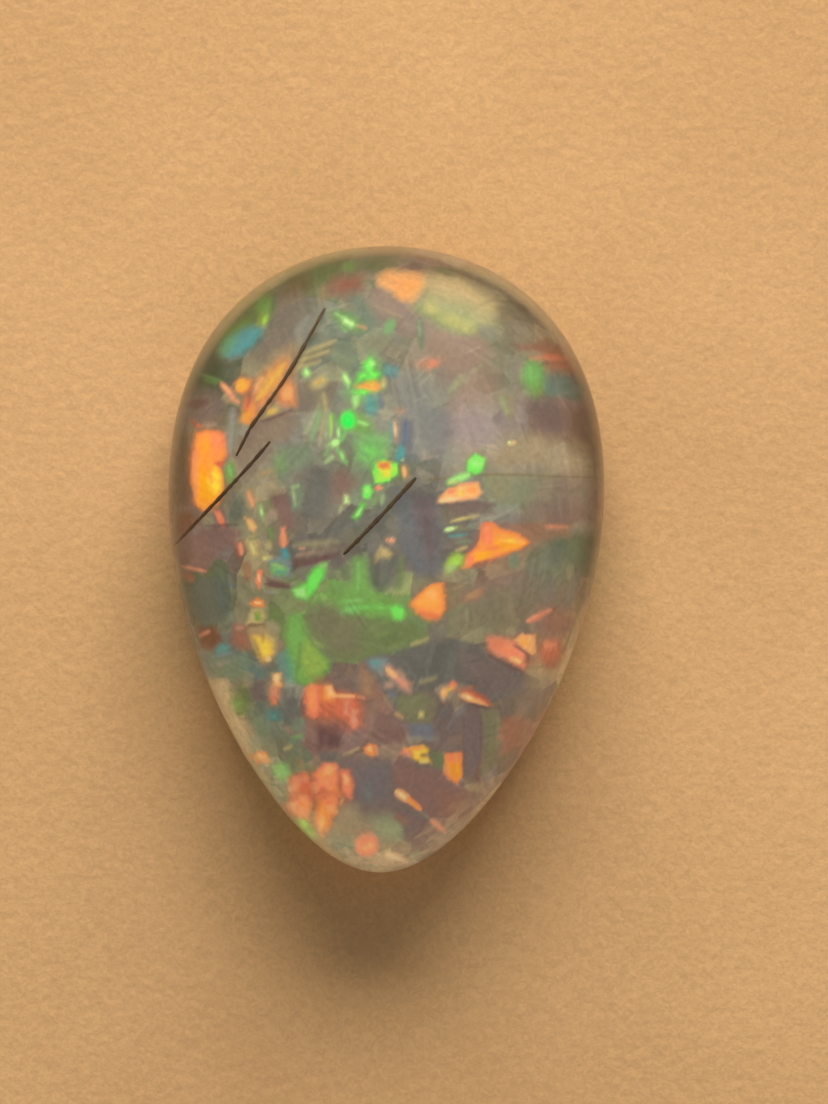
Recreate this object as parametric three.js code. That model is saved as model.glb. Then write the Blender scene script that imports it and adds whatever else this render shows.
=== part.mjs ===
import { Group, LatheGeometry, Mesh, MeshStandardMaterial, Vector2 } from 'three';

// Polished opal cabochon with a pear outline and a domed crown, in millimetres, +Z up.
// The stone lies on its flat base. The origin is on the base plane, under mid length.
// +Y points to the round end, -Y to the narrow end.

// Driving dimensions
const LENGTH = 13.0;
const WIDTH = 9.06;
const HEIGHT = 4.2;
// Level of the widest outline above the base
const GIRDLE_HEIGHT = 1.0;
// Size of the flat base as a share of the widest outline
const BASE_SHARE = 0.84;
// Highest point of the crown, from mid length towards the round end
const APEX_OFFSET = 0.9;

// Form of the outline: how much fuller the round half is than the narrow half,
// and how much more it is pinched close to the narrow end
const PEAR_TAPER = 0.242;
const TIP_PINCH = 0.055;

// Form of the crown: 2 is an ellipse, and more gives steeper sides under a flatter top
const CROWN_FULLNESS = 2.15;

// Facets around the stone, up the crown and up the rounded bevel under the girdle
const SIDES = 96;
const CROWN_ROWS = 18;
const BEVEL_ROWS = 6;

const QUARTER_TURN = Math.PI / 2;

// Width of the outline against an ellipse, where c runs from -1 at the narrow end to 1
function swell(c) {
  return 1 + PEAR_TAPER * c + TIP_PINCH * c ** 3;
}

// Largest half width that the outline reaches when its ellipse is 1 wide
function widestHalf() {
  const samples = 3600;
  let widest = 0;
  for (let i = 0; i <= samples; i += 1) {
    const angle = (i / samples) * Math.PI;
    widest = Math.max(widest, Math.sin(angle) * swell(Math.cos(angle)));
  }
  return widest;
}

// Section of the stone from the middle of its base to the top of its crown.
// The first number is a share of the outline, the second a height.
function sectionPoints() {
  const points = [new Vector2(0, 0), new Vector2(BASE_SHARE, 0)];
  for (let row = 1; row <= BEVEL_ROWS; row += 1) {
    const angle = (row / BEVEL_ROWS) * QUARTER_TURN;
    const share = BASE_SHARE + (1 - BASE_SHARE) * Math.sin(angle);
    points.push(new Vector2(share, GIRDLE_HEIGHT * (1 - Math.cos(angle))));
  }
  const crownHeight = HEIGHT - GIRDLE_HEIGHT;
  const power = 2 / CROWN_FULLNESS;
  for (let row = 1; row < CROWN_ROWS; row += 1) {
    const angle = (row / CROWN_ROWS) * QUARTER_TURN;
    const share = Math.cos(angle) ** power;
    points.push(new Vector2(share, GIRDLE_HEIGHT + crownHeight * Math.sin(angle) ** power));
  }
  points.push(new Vector2(0, HEIGHT));
  return points;
}

// Round solid of the section, stretched at each level to the pear outline.
// Above the girdle the levels shift towards the round end, so the crown peaks there.
function cabochonGeometry() {
  const geometry = new LatheGeometry(sectionPoints(), SIDES);
  geometry.rotateX(QUARTER_TURN);
  const halfWidth = WIDTH / 2 / widestHalf();
  const halfLength = LENGTH / 2;
  const position = geometry.attributes.position;
  for (let i = 0; i < position.count; i += 1) {
    const x = position.getX(i);
    const y = position.getY(i);
    const z = position.getZ(i);
    const share = Math.hypot(x, y);
    const c = share > 0 ? y / share : 0;
    const shift = z > GIRDLE_HEIGHT ? APEX_OFFSET * (1 - share ** 2) : 0;
    position.setXYZ(i, x * halfWidth * swell(c), y * halfLength + shift, z);
  }
  geometry.computeVertexNormals();
  return geometry;
}

// Translucent grey body colour with a high polish
const polishedOpal = new MeshStandardMaterial({
  color: 0x8e7e60,
  roughness: 0.08,
  metalness: 0,
});

const opal = new Mesh(cabochonGeometry(), polishedOpal);
opal.name = 'opal';

const group = new Group();
group.add(opal);

export default group;
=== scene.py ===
import math

import bmesh
import bpy
import numpy as np
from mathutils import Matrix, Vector


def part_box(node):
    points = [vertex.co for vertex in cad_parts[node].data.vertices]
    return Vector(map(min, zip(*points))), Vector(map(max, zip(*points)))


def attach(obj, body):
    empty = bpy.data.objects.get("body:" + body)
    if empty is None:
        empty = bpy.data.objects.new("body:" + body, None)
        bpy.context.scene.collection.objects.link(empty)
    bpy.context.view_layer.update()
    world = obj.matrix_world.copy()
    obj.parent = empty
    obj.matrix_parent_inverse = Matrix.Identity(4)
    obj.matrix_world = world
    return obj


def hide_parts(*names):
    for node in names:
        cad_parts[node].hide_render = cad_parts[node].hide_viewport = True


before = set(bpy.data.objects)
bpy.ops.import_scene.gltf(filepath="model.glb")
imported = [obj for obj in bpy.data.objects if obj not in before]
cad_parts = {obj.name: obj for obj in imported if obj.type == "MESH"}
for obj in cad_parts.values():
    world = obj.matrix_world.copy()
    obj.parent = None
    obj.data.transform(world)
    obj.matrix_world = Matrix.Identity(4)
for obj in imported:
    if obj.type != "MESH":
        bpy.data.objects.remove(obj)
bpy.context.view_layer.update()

# A polished pear-shaped opal cabochon on a paper card, seen from straight above.
# Plan positions are in millimetres: x to the right, y towards the round end.

MM = 0.001

# Form of the stone, as in its CAD solid: sizes come from the frame, shape terms are shares
LOW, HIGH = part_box("opal")
LENGTH = (HIGH[1] - LOW[1]) / MM
WIDTH = (HIGH[0] - LOW[0]) / MM
HEIGHT = (HIGH[2] - LOW[2]) / MM
GIRDLE_HEIGHT = 1.0
BASE_SHARE = 0.84
APEX_OFFSET = 0.9
PEAR_TAPER = 0.242
TIP_PINCH = 0.055
CROWN_FULLNESS = 2.15

# Rows from the middle of a mesh to its rim
SHELL_ROWS = 90
CROWN_ROWS = 219
UNDERSIDE_ROWS = 100
# Share of the underside's rows that lies on the flat base
BASE_ROW_SHARE = 0.78

IOR = 1.45

# How deep the colour lies under the crown, and how much it comes and goes.
# At the girdle it comes up to the surface, but stays deep in the narrow end, whose rim is clear.
FIRE_DEPTH = 0.2
FIRE_RELIEF = 0.1
RIM_DEPTH = 0.05
CLEAR_RIM_DEPTH = 0.12
CLEAR_RIM_FROM = -0.5
CLEAR_RIM_TO = -4.0
# Distance above or below the girdle over which the depth comes in
FIRE_RISE = 1.2
# The relief is the product of two waves: radians per millimetre in x and y, and where each starts
FIRE_WAVES = ((1.9, 0.7, 0.0), (-0.9, 1.3, 1.0))

# Camera straight above, turned a little so the stone leans in the frame as in the photograph
FRAME_PIXELS = 1104
PIXELS_PER_MM = 48.17
LEAN = 0.0192
DISTANCE = 110.0
AIM = (0.597, 0.162)
SENSOR_HEIGHT = 24
CLIP_START = 0.005

# Steps for the slope of the surface, and how near its normal is taken to the ends of a path
NORMAL_STEP = 1e-4
PATH_MARGIN = 0.01
SLOPE_STEP = 0.01
# Rounds that find a place on the crown, and how far each goes towards its new guess
SEARCH_ROUNDS = 40
SEARCH_SHARE = 0.5
# In metres
WELD_DISTANCE = 1e-7


def swell(c):
    """Width of the outline against an ellipse, where c runs from -1 at the narrow end to 1."""
    return 1 + PEAR_TAPER * c + TIP_PINCH * c**3


def widest_half():
    """Largest half width that the outline reaches when its ellipse is 1 wide."""
    angle = np.linspace(0, math.pi, 3601)
    return np.max(np.sin(angle) * swell(np.cos(angle)))


HALF_WIDTH = WIDTH / 2 / widest_half()
HALF_LENGTH = LENGTH / 2


def section(path):
    """Share of the outline and height along a path: 0 at the crown's top, 1 at the girdle,
    2 at the edge of the base, 3 in its middle."""
    power = 2 / CROWN_FULLNESS
    crown = np.clip(path, 0, 1) * math.pi / 2
    bevel = np.clip(path - 1, 0, 1) * math.pi / 2
    crown_share = np.sin(crown) ** power
    crown_z = GIRDLE_HEIGHT + (HEIGHT - GIRDLE_HEIGHT) * np.clip(np.cos(crown), 0, 1) ** power
    bevel_share = BASE_SHARE + (1 - BASE_SHARE) * np.cos(bevel)
    bevel_z = GIRDLE_HEIGHT * (1 - np.sin(bevel))
    on_crown = path <= 1
    share = np.where(on_crown, crown_share, bevel_share) * np.clip(3 - path, 0, 1)
    return share, np.where(on_crown, crown_z, bevel_z)


def surface(path, bearing):
    """Points of the stone's surface in millimetres. Bearing 0 is the round end."""
    share, z = section(path)
    c = np.cos(bearing)
    shift = np.where(path <= 1, APEX_OFFSET * (1 - share**2), 0.0)
    x = share * np.sin(bearing) * HALF_WIDTH * swell(c)
    y = share * c * HALF_LENGTH + shift
    return np.stack([x, y, z], axis=-1)


def surface_normal(path, bearing):
    """Outward normal of the same surface."""
    last = 2 - PATH_MARGIN
    near = np.clip(path, PATH_MARGIN, last)
    along = surface(near + NORMAL_STEP, bearing) - surface(near - NORMAL_STEP, bearing)
    around = surface(near, bearing + NORMAL_STEP) - surface(near, bearing - NORMAL_STEP)
    normal = np.cross(along, around)
    normal /= np.linalg.norm(normal, axis=-1, keepdims=True)
    inside = np.array([0.0, APEX_OFFSET / 2, GIRDLE_HEIGHT])
    inward = ((surface(near, bearing) - inside) * normal).sum(axis=-1, keepdims=True) < 0
    normal = np.where(inward, -normal, normal)
    return np.where((path > last)[..., None], (0.0, 0.0, -1.0), normal)


def crown_height(x, y):
    """Height of the crown over a plan position, by walking in from the girdle."""
    share = 0.0
    for _ in range(SEARCH_ROUNDS):
        yy = y - APEX_OFFSET * (1 - share**2)
        c = yy / max(share * HALF_LENGTH, 1e-6)
        c = max(-1.0, min(1.0, c))
        guess = math.hypot(x / (HALF_WIDTH * swell(c)), yy / HALF_LENGTH)
        share = share + SEARCH_SHARE * (min(guess, 1.0) - share)
    rise = (1 - share**CROWN_FULLNESS) ** (1 / CROWN_FULLNESS)
    return GIRDLE_HEIGHT + (HEIGHT - GIRDLE_HEIGHT) * rise


def mesh_object(name, points_mm, faces):
    """A smooth mesh in the scene, from points in millimetres."""
    mesh = bpy.data.meshes.new(name)
    mesh.from_pydata((points_mm * MM).tolist(), [], [list(map(int, face)) for face in faces])
    mesh.polygons.foreach_set("use_smooth", [True] * len(mesh.polygons))
    mesh.update()
    piece = bpy.data.objects.new(name, mesh)
    bpy.context.scene.collection.objects.link(piece)
    return piece


def disc_grid(rows, columns=(0.0, 1.0)):
    """A square grid folded onto a disc with even cells, between two shares of its columns.

    Gives radius 0 to 1, bearing and quads.
    """
    count = 2 * rows + 1
    first = round(columns[0] * (count - 1))
    last = round(columns[1] * (count - 1))
    line = np.linspace(-1, 1, count)
    a, b = np.meshgrid(line[first:last + 1], line, indexing="xy")
    radius = np.maximum(abs(a), abs(b))
    safe = np.where(radius > 0, radius, 1)
    east = np.where(a >= 0, 0, math.pi) + np.where(a >= 0, 1, -1) * math.pi / 4 * b / safe
    north = np.where(b >= 0, 1, -1) * (math.pi / 2 - math.pi / 4 * a / safe)
    angle = np.where(abs(a) >= abs(b), east, north)
    index = np.arange(a.size).reshape(a.shape)
    quads = np.stack([index[:-1, :-1], index[:-1, 1:], index[1:, 1:], index[1:, :-1]], axis=-1)
    return radius.ravel(), math.pi / 2 - angle.ravel(), quads.reshape(-1, 4)


def crown_path(radius):
    """From 0 at the crown's top to the girdle at 1."""
    return radius


def underside_path(radius):
    """From 3 in the middle of the base, over its edge at 2, to the girdle at 1."""
    base = 3 - radius / BASE_ROW_SHARE
    bevel = 1 + (1 - radius) / (1 - BASE_ROW_SHARE)
    return np.where(radius <= BASE_ROW_SHARE, base, bevel)


def seen_place(outer, normal, depth):
    """Plan place at which the camera above sees a point this deep, through the clear skin over it."""
    tilt = np.arccos(np.clip(normal[:, 2], 0, 1))
    bent = np.arcsin(np.sin(tilt) / IOR)
    level = normal[:, :2] / np.maximum(np.linalg.norm(normal[:, :2], axis=1, keepdims=True), 1e-9)
    entry = outer[:, :2] - level * (depth * np.cos(tilt) * np.tan(bent))[:, None]
    nearer = DISTANCE / (DISTANCE - (outer[:, 2:] - GIRDLE_HEIGHT))
    return np.array(AIM) + (entry - AIM) * nearer


def stone_part(rows, path_of, depth_of, columns=(0.0, 1.0)):
    """Points, quads and seen places of a part of the surface, moved inwards by its depth."""
    radius, bearing, quads = disc_grid(rows, columns)
    path = path_of(radius)
    outer = surface(path, bearing)
    normal = surface_normal(path, bearing)
    depth = depth_of(outer)
    return outer - depth[:, None] * normal, quads, seen_place(outer, normal, depth)


# Colours of the stone as they look on screen

MUTED = {
    "olive": (111, 121, 78),
    "moss": (104, 120, 70),
    "dark green": (90, 98, 72),
    "grey green": (115, 128, 102),
    "teal grey": (98, 116, 106),
    "slate": (102, 99, 91),
    "slate blue": (106, 107, 113),
    "slate mauve": (116, 99, 91),
    "mauve": (128, 98, 87),
    "dark mauve": (106, 77, 72),
    "rosewood": (148, 104, 80),
    "russet": (118, 76, 54),
    "brown": (104, 82, 60),
    "taupe": (135, 116, 96),
    "moss grey": (118, 111, 84),
    "khaki grey": (146, 135, 103),
    "grey": (142, 139, 124),
    "rose": (158, 132, 112),
    "lilac": (152, 136, 130),
    "tan": (168, 136, 96),
    "cream": (184, 157, 112),
    "pale cream": (206, 182, 138),
    "slate green": (96, 101, 86),
    "warm khaki": (158, 140, 108),
    "olive brown": (116, 102, 70),
    "bright khaki": (196, 174, 122),
    "stone brown": (126, 113, 96),
}
BRIGHT = {
    "orange": (244, 148, 72),
    "amber": (255, 166, 25),
    "gold": (226, 184, 70),
    "yellow": (252, 208, 60),
    "peach": (244, 182, 116),
    "pale peach": (236, 202, 150),
    "coral": (246, 138, 96),
    "salmon": (222, 146, 110),
    "red": (208, 108, 74),
    "brick": (162, 98, 70),
    "pink": (188, 140, 118),
    "khaki": (184, 167, 112),
    "straw": (205, 194, 118),
    "lime": (174, 238, 80),
    "spring green": (116, 238, 90),
    "green": (112, 196, 86),
    "leaf": (114, 158, 76),
    "fern": (122, 184, 102),
    "mint": (168, 226, 132),
    "pale green": (156, 178, 122),
    "ice": (202, 240, 152),
    "emerald": (24, 238, 84),
    "teal": (84, 144, 136),
    "sky": (84, 150, 150),
    "blue grey": (122, 136, 132),
    "yellow green": (146, 168, 76),
    "deep blue": (84, 102, 138),
    "deep green": (66, 82, 58),
    # Painted light: the card's colour seen through the clear edge
    "card glow": (232, 190, 132),
}
COLOURS = {**MUTED, **BRIGHT}


def linear(colour):
    """Linear light of a named screen colour."""
    share = np.array(COLOURS[colour]) / 255
    return np.where(share <= 0.04045, share / 12.92, ((share + 0.055) / 1.055) ** 2.4)


# Broad tone of each area: colour, middle x and y, reach in x and y. The cream tones along the lower left,
# the lower right and at the narrow end are painted light, where the card's colour comes through the clear
# edge.
TONES = [
    ("dark green", -3.8, 3.8, 0.7, 0.7),
    ("moss", -2.9, 5.2, 0.8, 0.7),
    ("olive", -1.4, 6.0, 0.9, 0.5),
    ("rose", 0.2, 5.8, 0.7, 0.5),
    ("grey", -2.0, 4.5, 0.5, 0.6),
    ("grey green", -0.9, 4.4, 0.8, 0.7),
    ("rose", 1.1, 4.4, 0.7, 0.5),
    ("grey", 0.5, 3.5, 0.7, 0.8),
    ("khaki grey", 1.7, 5.4, 0.9, 0.4),
    ("khaki grey", 2.4, 4.6, 0.6, 0.4),
    ("taupe", 3.0, 4.4, 0.5, 0.5),
    ("mauve", 3.8, 3.6, 0.5, 0.8),
    ("lilac", 2.0, 2.8, 0.5, 0.4),
    ("taupe", 3.5, 2.8, 0.6, 0.7),
    ("rosewood", 4.3, 2.2, 0.3, 1.0),
    ("brown", -4.4, 2.2, 0.3, 1.4),
    ("taupe", -2.4, 2.6, 0.7, 0.7),
    ("grey", -1.8, 2.4, 0.6, 0.6),
    ("slate mauve", -1.2, 1.4, 0.6, 0.6),
    ("grey green", -0.6, 1.6, 0.6, 0.7),
    ("slate mauve", -3.5, 0.5, 0.8, 0.5),
    ("khaki grey", -2.6, 0.8, 0.5, 0.7),
    ("slate", -1.5, 0.4, 0.6, 0.5),
    ("grey", 2.4, 1.6, 0.8, 0.4),
    ("warm khaki", 2.9, 2.2, 0.9, 0.4),
    ("taupe", 3.6, 1.5, 0.6, 0.4),
    ("slate", 0.5, 0.4, 0.6, 0.7),
    ("moss grey", 3.7, 0.0, 0.6, 0.6),
    ("mauve", 2.8, -0.4, 0.7, 0.5),
    ("leaf", -0.5, -1.0, 0.8, 0.5),
    ("slate", -0.2, -0.2, 0.5, 0.4),
    ("khaki grey", 1.5, -1.2, 0.6, 0.5),
    ("dark green", -3.7, -0.9, 0.5, 0.5),
    ("moss grey", -2.6, -1.2, 0.6, 0.6),
    ("teal grey", -3.2, -2.1, 0.6, 0.4),
    ("cream", -3.4, -3.2, 0.4, 0.6),
    ("grey green", -2.4, -3.4, 0.5, 0.7),
    ("cream", -2.9, -4.2, 0.4, 0.6),
    ("mauve", -0.8, -3.5, 0.8, 0.5),
    ("slate", 0.9, -2.2, 0.9, 0.5),
    ("slate mauve", 2.4, -2.6, 0.7, 0.5),
    ("tan", 3.8, -2.0, 0.3, 0.7),
    ("slate mauve", 1.8, -3.8, 0.6, 0.7),
    ("rosewood", 2.9, -3.4, 0.4, 0.5),
    ("mauve", 1.2, -4.9, 0.6, 0.4),
    ("slate mauve", 0.0, -4.7, 0.7, 0.5),
    ("tan", -1.3, -5.0, 0.5, 0.6),
    ("grey green", -2.0, -4.4, 0.4, 0.5),
    ("taupe", 0.9, -5.7, 0.6, 0.4),
    ("cream", -0.4, -6.3, 0.7, 0.4),
    ("cream", 1.9, -5.2, 0.4, 0.4),
]

# Cells of the grain, in millimetres, and how far each strays from the broad tone
GRAIN_CELL = 0.5
GRAIN_SHIFT = 0.35
CHIP_CELL = 0.2
CHIP_SHIFT = 0.14
# Share of the outline from which marks give way to the grain, and how far they do
STEEP_FROM = 0.94
STEEP_FADE = 0.7
# Small cells that break the edges of the flashes into facets
FACET_CELL = 0.24
FACET_SHIFT = 0.022
STRIPE_CELL = 0.7
STRIPE_WIDTH = 0.07
STRIPE_DEPTH = 0.12
# Crisp bright patches get darker towards their edge, over this width and by this share
CRISP = 0.06
GLOW_REACH = 0.09
GLOW_SHARE = 0.22
GLOW_TINT = np.array([0.7, 1.0, 1.0])

DOMAIN_STRENGTH = 0.87
# Random flashes on the sides and underneath, which the view from above doesn't show
SIDE_FLASH_TOP = 1.25
SIDE_FLASH_SHARE = 0.12
HIDDEN_FLASHES = ["orange", "coral", "green", "teal", "spring green", "peach", "sky"]

# Fine lines: their usual direction in radians, how it swings across the stone, how far each strays
# from it, their half length, width and gain
HAIRLINE_COUNT = 420
HAIRLINE_LEAN = 0.9
HAIRLINE_SWING = 1.1
HAIRLINE_WAVE_X = 1.3
HAIRLINE_WAVE_START = 0.9
HAIRLINE_WAVE_Y = 0.9
HAIRLINE_STRAY = 0.25
HAIRLINE_HALF = (0.1, 0.35)
HAIRLINE_WIDE = (0.025, 0.07)
HAIRLINE_GAINS = (0.84, 0.9, 1.12, 1.22)

# Short random chips of colour that break up the flashes near the narrow end
TIP_CHIPS = 20
TIP_CHIP_REACH = 0.25

# Painted shade and light at the rim: shares of the outline between which the rim turns dark or pale, and
# how dark or pale it gets
RIM_FROM = 0.89
RIM_TO = 0.965
RIM_SHADE = 0.42
PALE_RIM_SHARE = 0.5
# Outside the dark rim the clear edge shows some of the card's colour, as painted light that comes through
# the edge
RIM_GLINT_FROM = 0.965
RIM_GLINT_TO = 0.99
RIM_GLINT = 0.85
RIM_GLINT_PLACES = (3.5, 5.5)
RIM_GLINT_LEAST = 0.1
# Where along the stone the rim goes from pale to plain, and from plain to dark. Both lean a little.
PALE_RIM_PLACES = (-5.2, -3.4)
PALE_RIM_LEAN = 0.5
DARK_RIM_PLACES = (-2.6, 0.0)
DARK_RIM_LEAN = -0.1
DARK_RIM_LEAST = 0.15
# The painted shade of the rim fades around the round end, and is darker on the right
TOP_RIM_PLACES = (5.2, 6.2)
TOP_RIM_SHARE = 0.75
RIGHT_RIM_PLACES = (3.4, 4.2)
RIGHT_RIM_GAIN = 1.5

# Painted light along the length: brightness from the narrow end to the round end
GATHER_PLACES = (-6.2, -3.0, 2.5, 4.5, 6.2)
GATHER_SHARES = (1.4, 1.2, 1.1, 0.8, 0.6)

# Large odd factors that scramble whole numbers, kept to 32 bits
AXIS_FACTORS = (73856093, 19349663, 83492791)
CHANNEL_FACTOR = 2654435761
SCRAMBLE_FACTORS = (0x45D9F3B, 0x119DE1F3)
ALL_BITS = 0xFFFFFFFF
# Keeps a share of 1 inside a list
JUST_UNDER_ONE = 0.9999


def chance(keys, channel):
    """Repeatable number 0 to 1 for each row of whole numbers."""
    mixed = channel * CHANNEL_FACTOR
    for axis, factor in enumerate(AXIS_FACTORS):
        mixed = mixed ^ keys[:, axis] * factor
    mixed = mixed & ALL_BITS
    for factor in SCRAMBLE_FACTORS:
        mixed = ((mixed ^ (mixed >> 16)) * factor) & ALL_BITS
    return (mixed ^ (mixed >> 16)) / ALL_BITS


def pick(options, share):
    """The option at each share 0 to 1 of the list."""
    return options[(share * len(options) * JUST_UNDER_ONE).astype(int)]


def cells(points, size, seed, turn=35, stretch=1.5):
    """Nearest random centre of each point, and that cell's key. Cells are longer along turn degrees."""
    cos, sin = math.cos(math.radians(turn)), math.sin(math.radians(turn))
    spin = np.array([[cos, -sin, 0], [sin, cos, 0], [0, 0, 1]])
    scale = size * np.array([stretch, 1.0, 1.0])
    placed = points @ spin / scale
    home = np.floor(placed).astype(np.int64)
    nearest = np.full(len(placed), 1e9)
    centre = np.zeros(placed.shape)
    key = np.zeros(home.shape, np.int64)
    for step in np.ndindex(3, 3, 3):
        other = home + np.array(step) - 1
        jitter = np.stack([chance(other, seed * 8 + axis) for axis in range(3)], axis=1)
        spot = other + jitter
        distance = ((placed - spot) ** 2).sum(axis=1)
        closer = distance < nearest
        nearest[closer] = distance[closer]
        centre[closer] = spot[closer]
        key[closer] = other[closer]
    return (centre * scale) @ spin.T, key


def outline_share(places):
    """How far plan places lie from the middle towards the outline, which is 1."""
    x, y = places.T
    plain = np.maximum(np.hypot(x / HALF_WIDTH, y / HALF_LENGTH), 1e-6)
    return np.hypot(x / (HALF_WIDTH * swell(np.clip(y / HALF_LENGTH / plain, -1, 1))), y / HALF_LENGTH)


class Painter:
    """Paints the fire mesh: a colour per vertex, in linear light."""

    def __init__(self, points, seen):
        self.points = points
        self.seen = seen
        _, facet = cells(points, FACET_CELL, 1)
        self.x = seen[:, 0] + FACET_SHIFT * (2 * chance(facet, 11) - 1)
        self.y = seen[:, 1] + FACET_SHIFT * (2 * chance(facet, 12) - 1)
        self.upper = points[:, 2] > GIRDLE_HEIGHT * 0.9
        steep = np.clip((outline_share(seen) - STEEP_FROM) / (1 - STEEP_FROM), 0, 1)
        self.hold = 1 - STEEP_FADE * steep
        self.rgb = np.zeros(points.shape)

    def cover(self, colour, share, near):
        """Lay a colour over the vertices in near, by share 0 to 1."""
        self.rgb[near] += (linear(colour) - self.rgb[near]) * (share * self.hold[near])[:, None]

    def near(self, low, high, margin):
        """The vertices of the crown that lie in a box with a margin around it."""
        inside_x = (self.x > low[0] - margin) & (self.x < high[0] + margin)
        inside_y = (self.y > low[1] - margin) & (self.y < high[1] + margin)
        return np.flatnonzero(inside_x & inside_y & self.upper)

    def patch(self, colour, outline, soft=0.04, strength=1.0):
        """A straight-sided domain with edges that fade over the width soft."""
        corners = np.array(outline, float)
        near = self.near(corners.min(axis=0), corners.max(axis=0), soft)
        px = self.x[near]
        py = self.y[near]
        nearest = np.full(len(near), 1e9)
        inside = np.zeros(len(near), bool)
        for (ax, ay), (bx, by) in zip(corners, np.roll(corners, -1, axis=0)):
            side_x, side_y = bx - ax, by - ay
            run = ((px - ax) * side_x + (py - ay) * side_y) / (side_x**2 + side_y**2)
            run = np.clip(run, 0, 1)
            nearest = np.minimum(nearest, np.hypot(px - ax - run * side_x, py - ay - run * side_y))
            crosses = (ay > py) != (by > py)
            inside ^= crosses & (px < ax + (py - ay) * side_x / (side_y or 1.0))
        signed = np.where(inside, nearest, -nearest)
        share = np.clip(0.5 + signed / (2 * soft), 0, 1)
        self.cover(colour, strength * share, near)
        if colour in BRIGHT and soft <= CRISP:
            edge = np.clip(1 - signed / GLOW_REACH, 0, 1) * share
            self.rgb[near] *= 1 - GLOW_SHARE * edge[:, None] * GLOW_TINT

    def spot(self, colour, x, y, wide, high, turn=0, soft=0.4, strength=1.0):
        """An oval of the given width and height, turned by degrees. Soft is the share that fades."""
        reach = max(wide, high)
        near = self.near((x - reach, y - reach), (x + reach, y + reach), 0)
        cos, sin = math.cos(math.radians(turn)), math.sin(math.radians(turn))
        along = (self.x[near] - x) * cos + (self.y[near] - y) * sin
        across = (self.y[near] - y) * cos - (self.x[near] - x) * sin
        radius = np.hypot(along / (wide / 2), across / (high / 2))
        self.cover(colour, strength * np.clip((1 + soft / 2 - radius) / soft, 0, 1), near)

    def block(self, colour, x, y, wide, high, soft=0.04, strength=1.0):
        """An upright rectangle around a middle point."""
        west, east = x - wide / 2, x + wide / 2
        south, north = y - high / 2, y + high / 2
        self.patch(colour, [(west, south), (east, south), (east, north), (west, north)], soft, strength)

    def streak(self, colour, start, end, wide, soft=0.04, strength=1.0):
        """A bar that narrows to points at its ends."""
        near, share = self.bar(start, end, wide, soft)
        self.cover(colour, strength * share, near)

    def shade(self, start, end, wide, gain):
        """The same bar, which makes what it crosses lighter or darker."""
        near, share = self.bar(start, end, wide, 0.02)
        self.rgb[near] *= (1 + (gain - 1) * share)[:, None]

    def bar(self, start, end, wide, soft):
        """The vertices near a bar and how much of each it covers. It ignores the facets."""
        start, end = np.array(start), np.array(end)
        near = self.near(np.minimum(start, end), np.maximum(start, end), wide + FACET_SHIFT)
        way = (end - start) / np.linalg.norm(end - start)
        offset = self.seen[near] - start
        run = offset @ way / np.linalg.norm(end - start)
        off = abs(offset[:, 0] * way[1] - offset[:, 1] * way[0])
        edge = wide / 2 * np.sqrt(np.clip(1 - (2 * run - 1) ** 2, 0, 1)) - off
        return near, np.where((run > 0) & (run < 1), np.clip(0.5 + edge / (2 * soft), 0, 1), 0)


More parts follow.
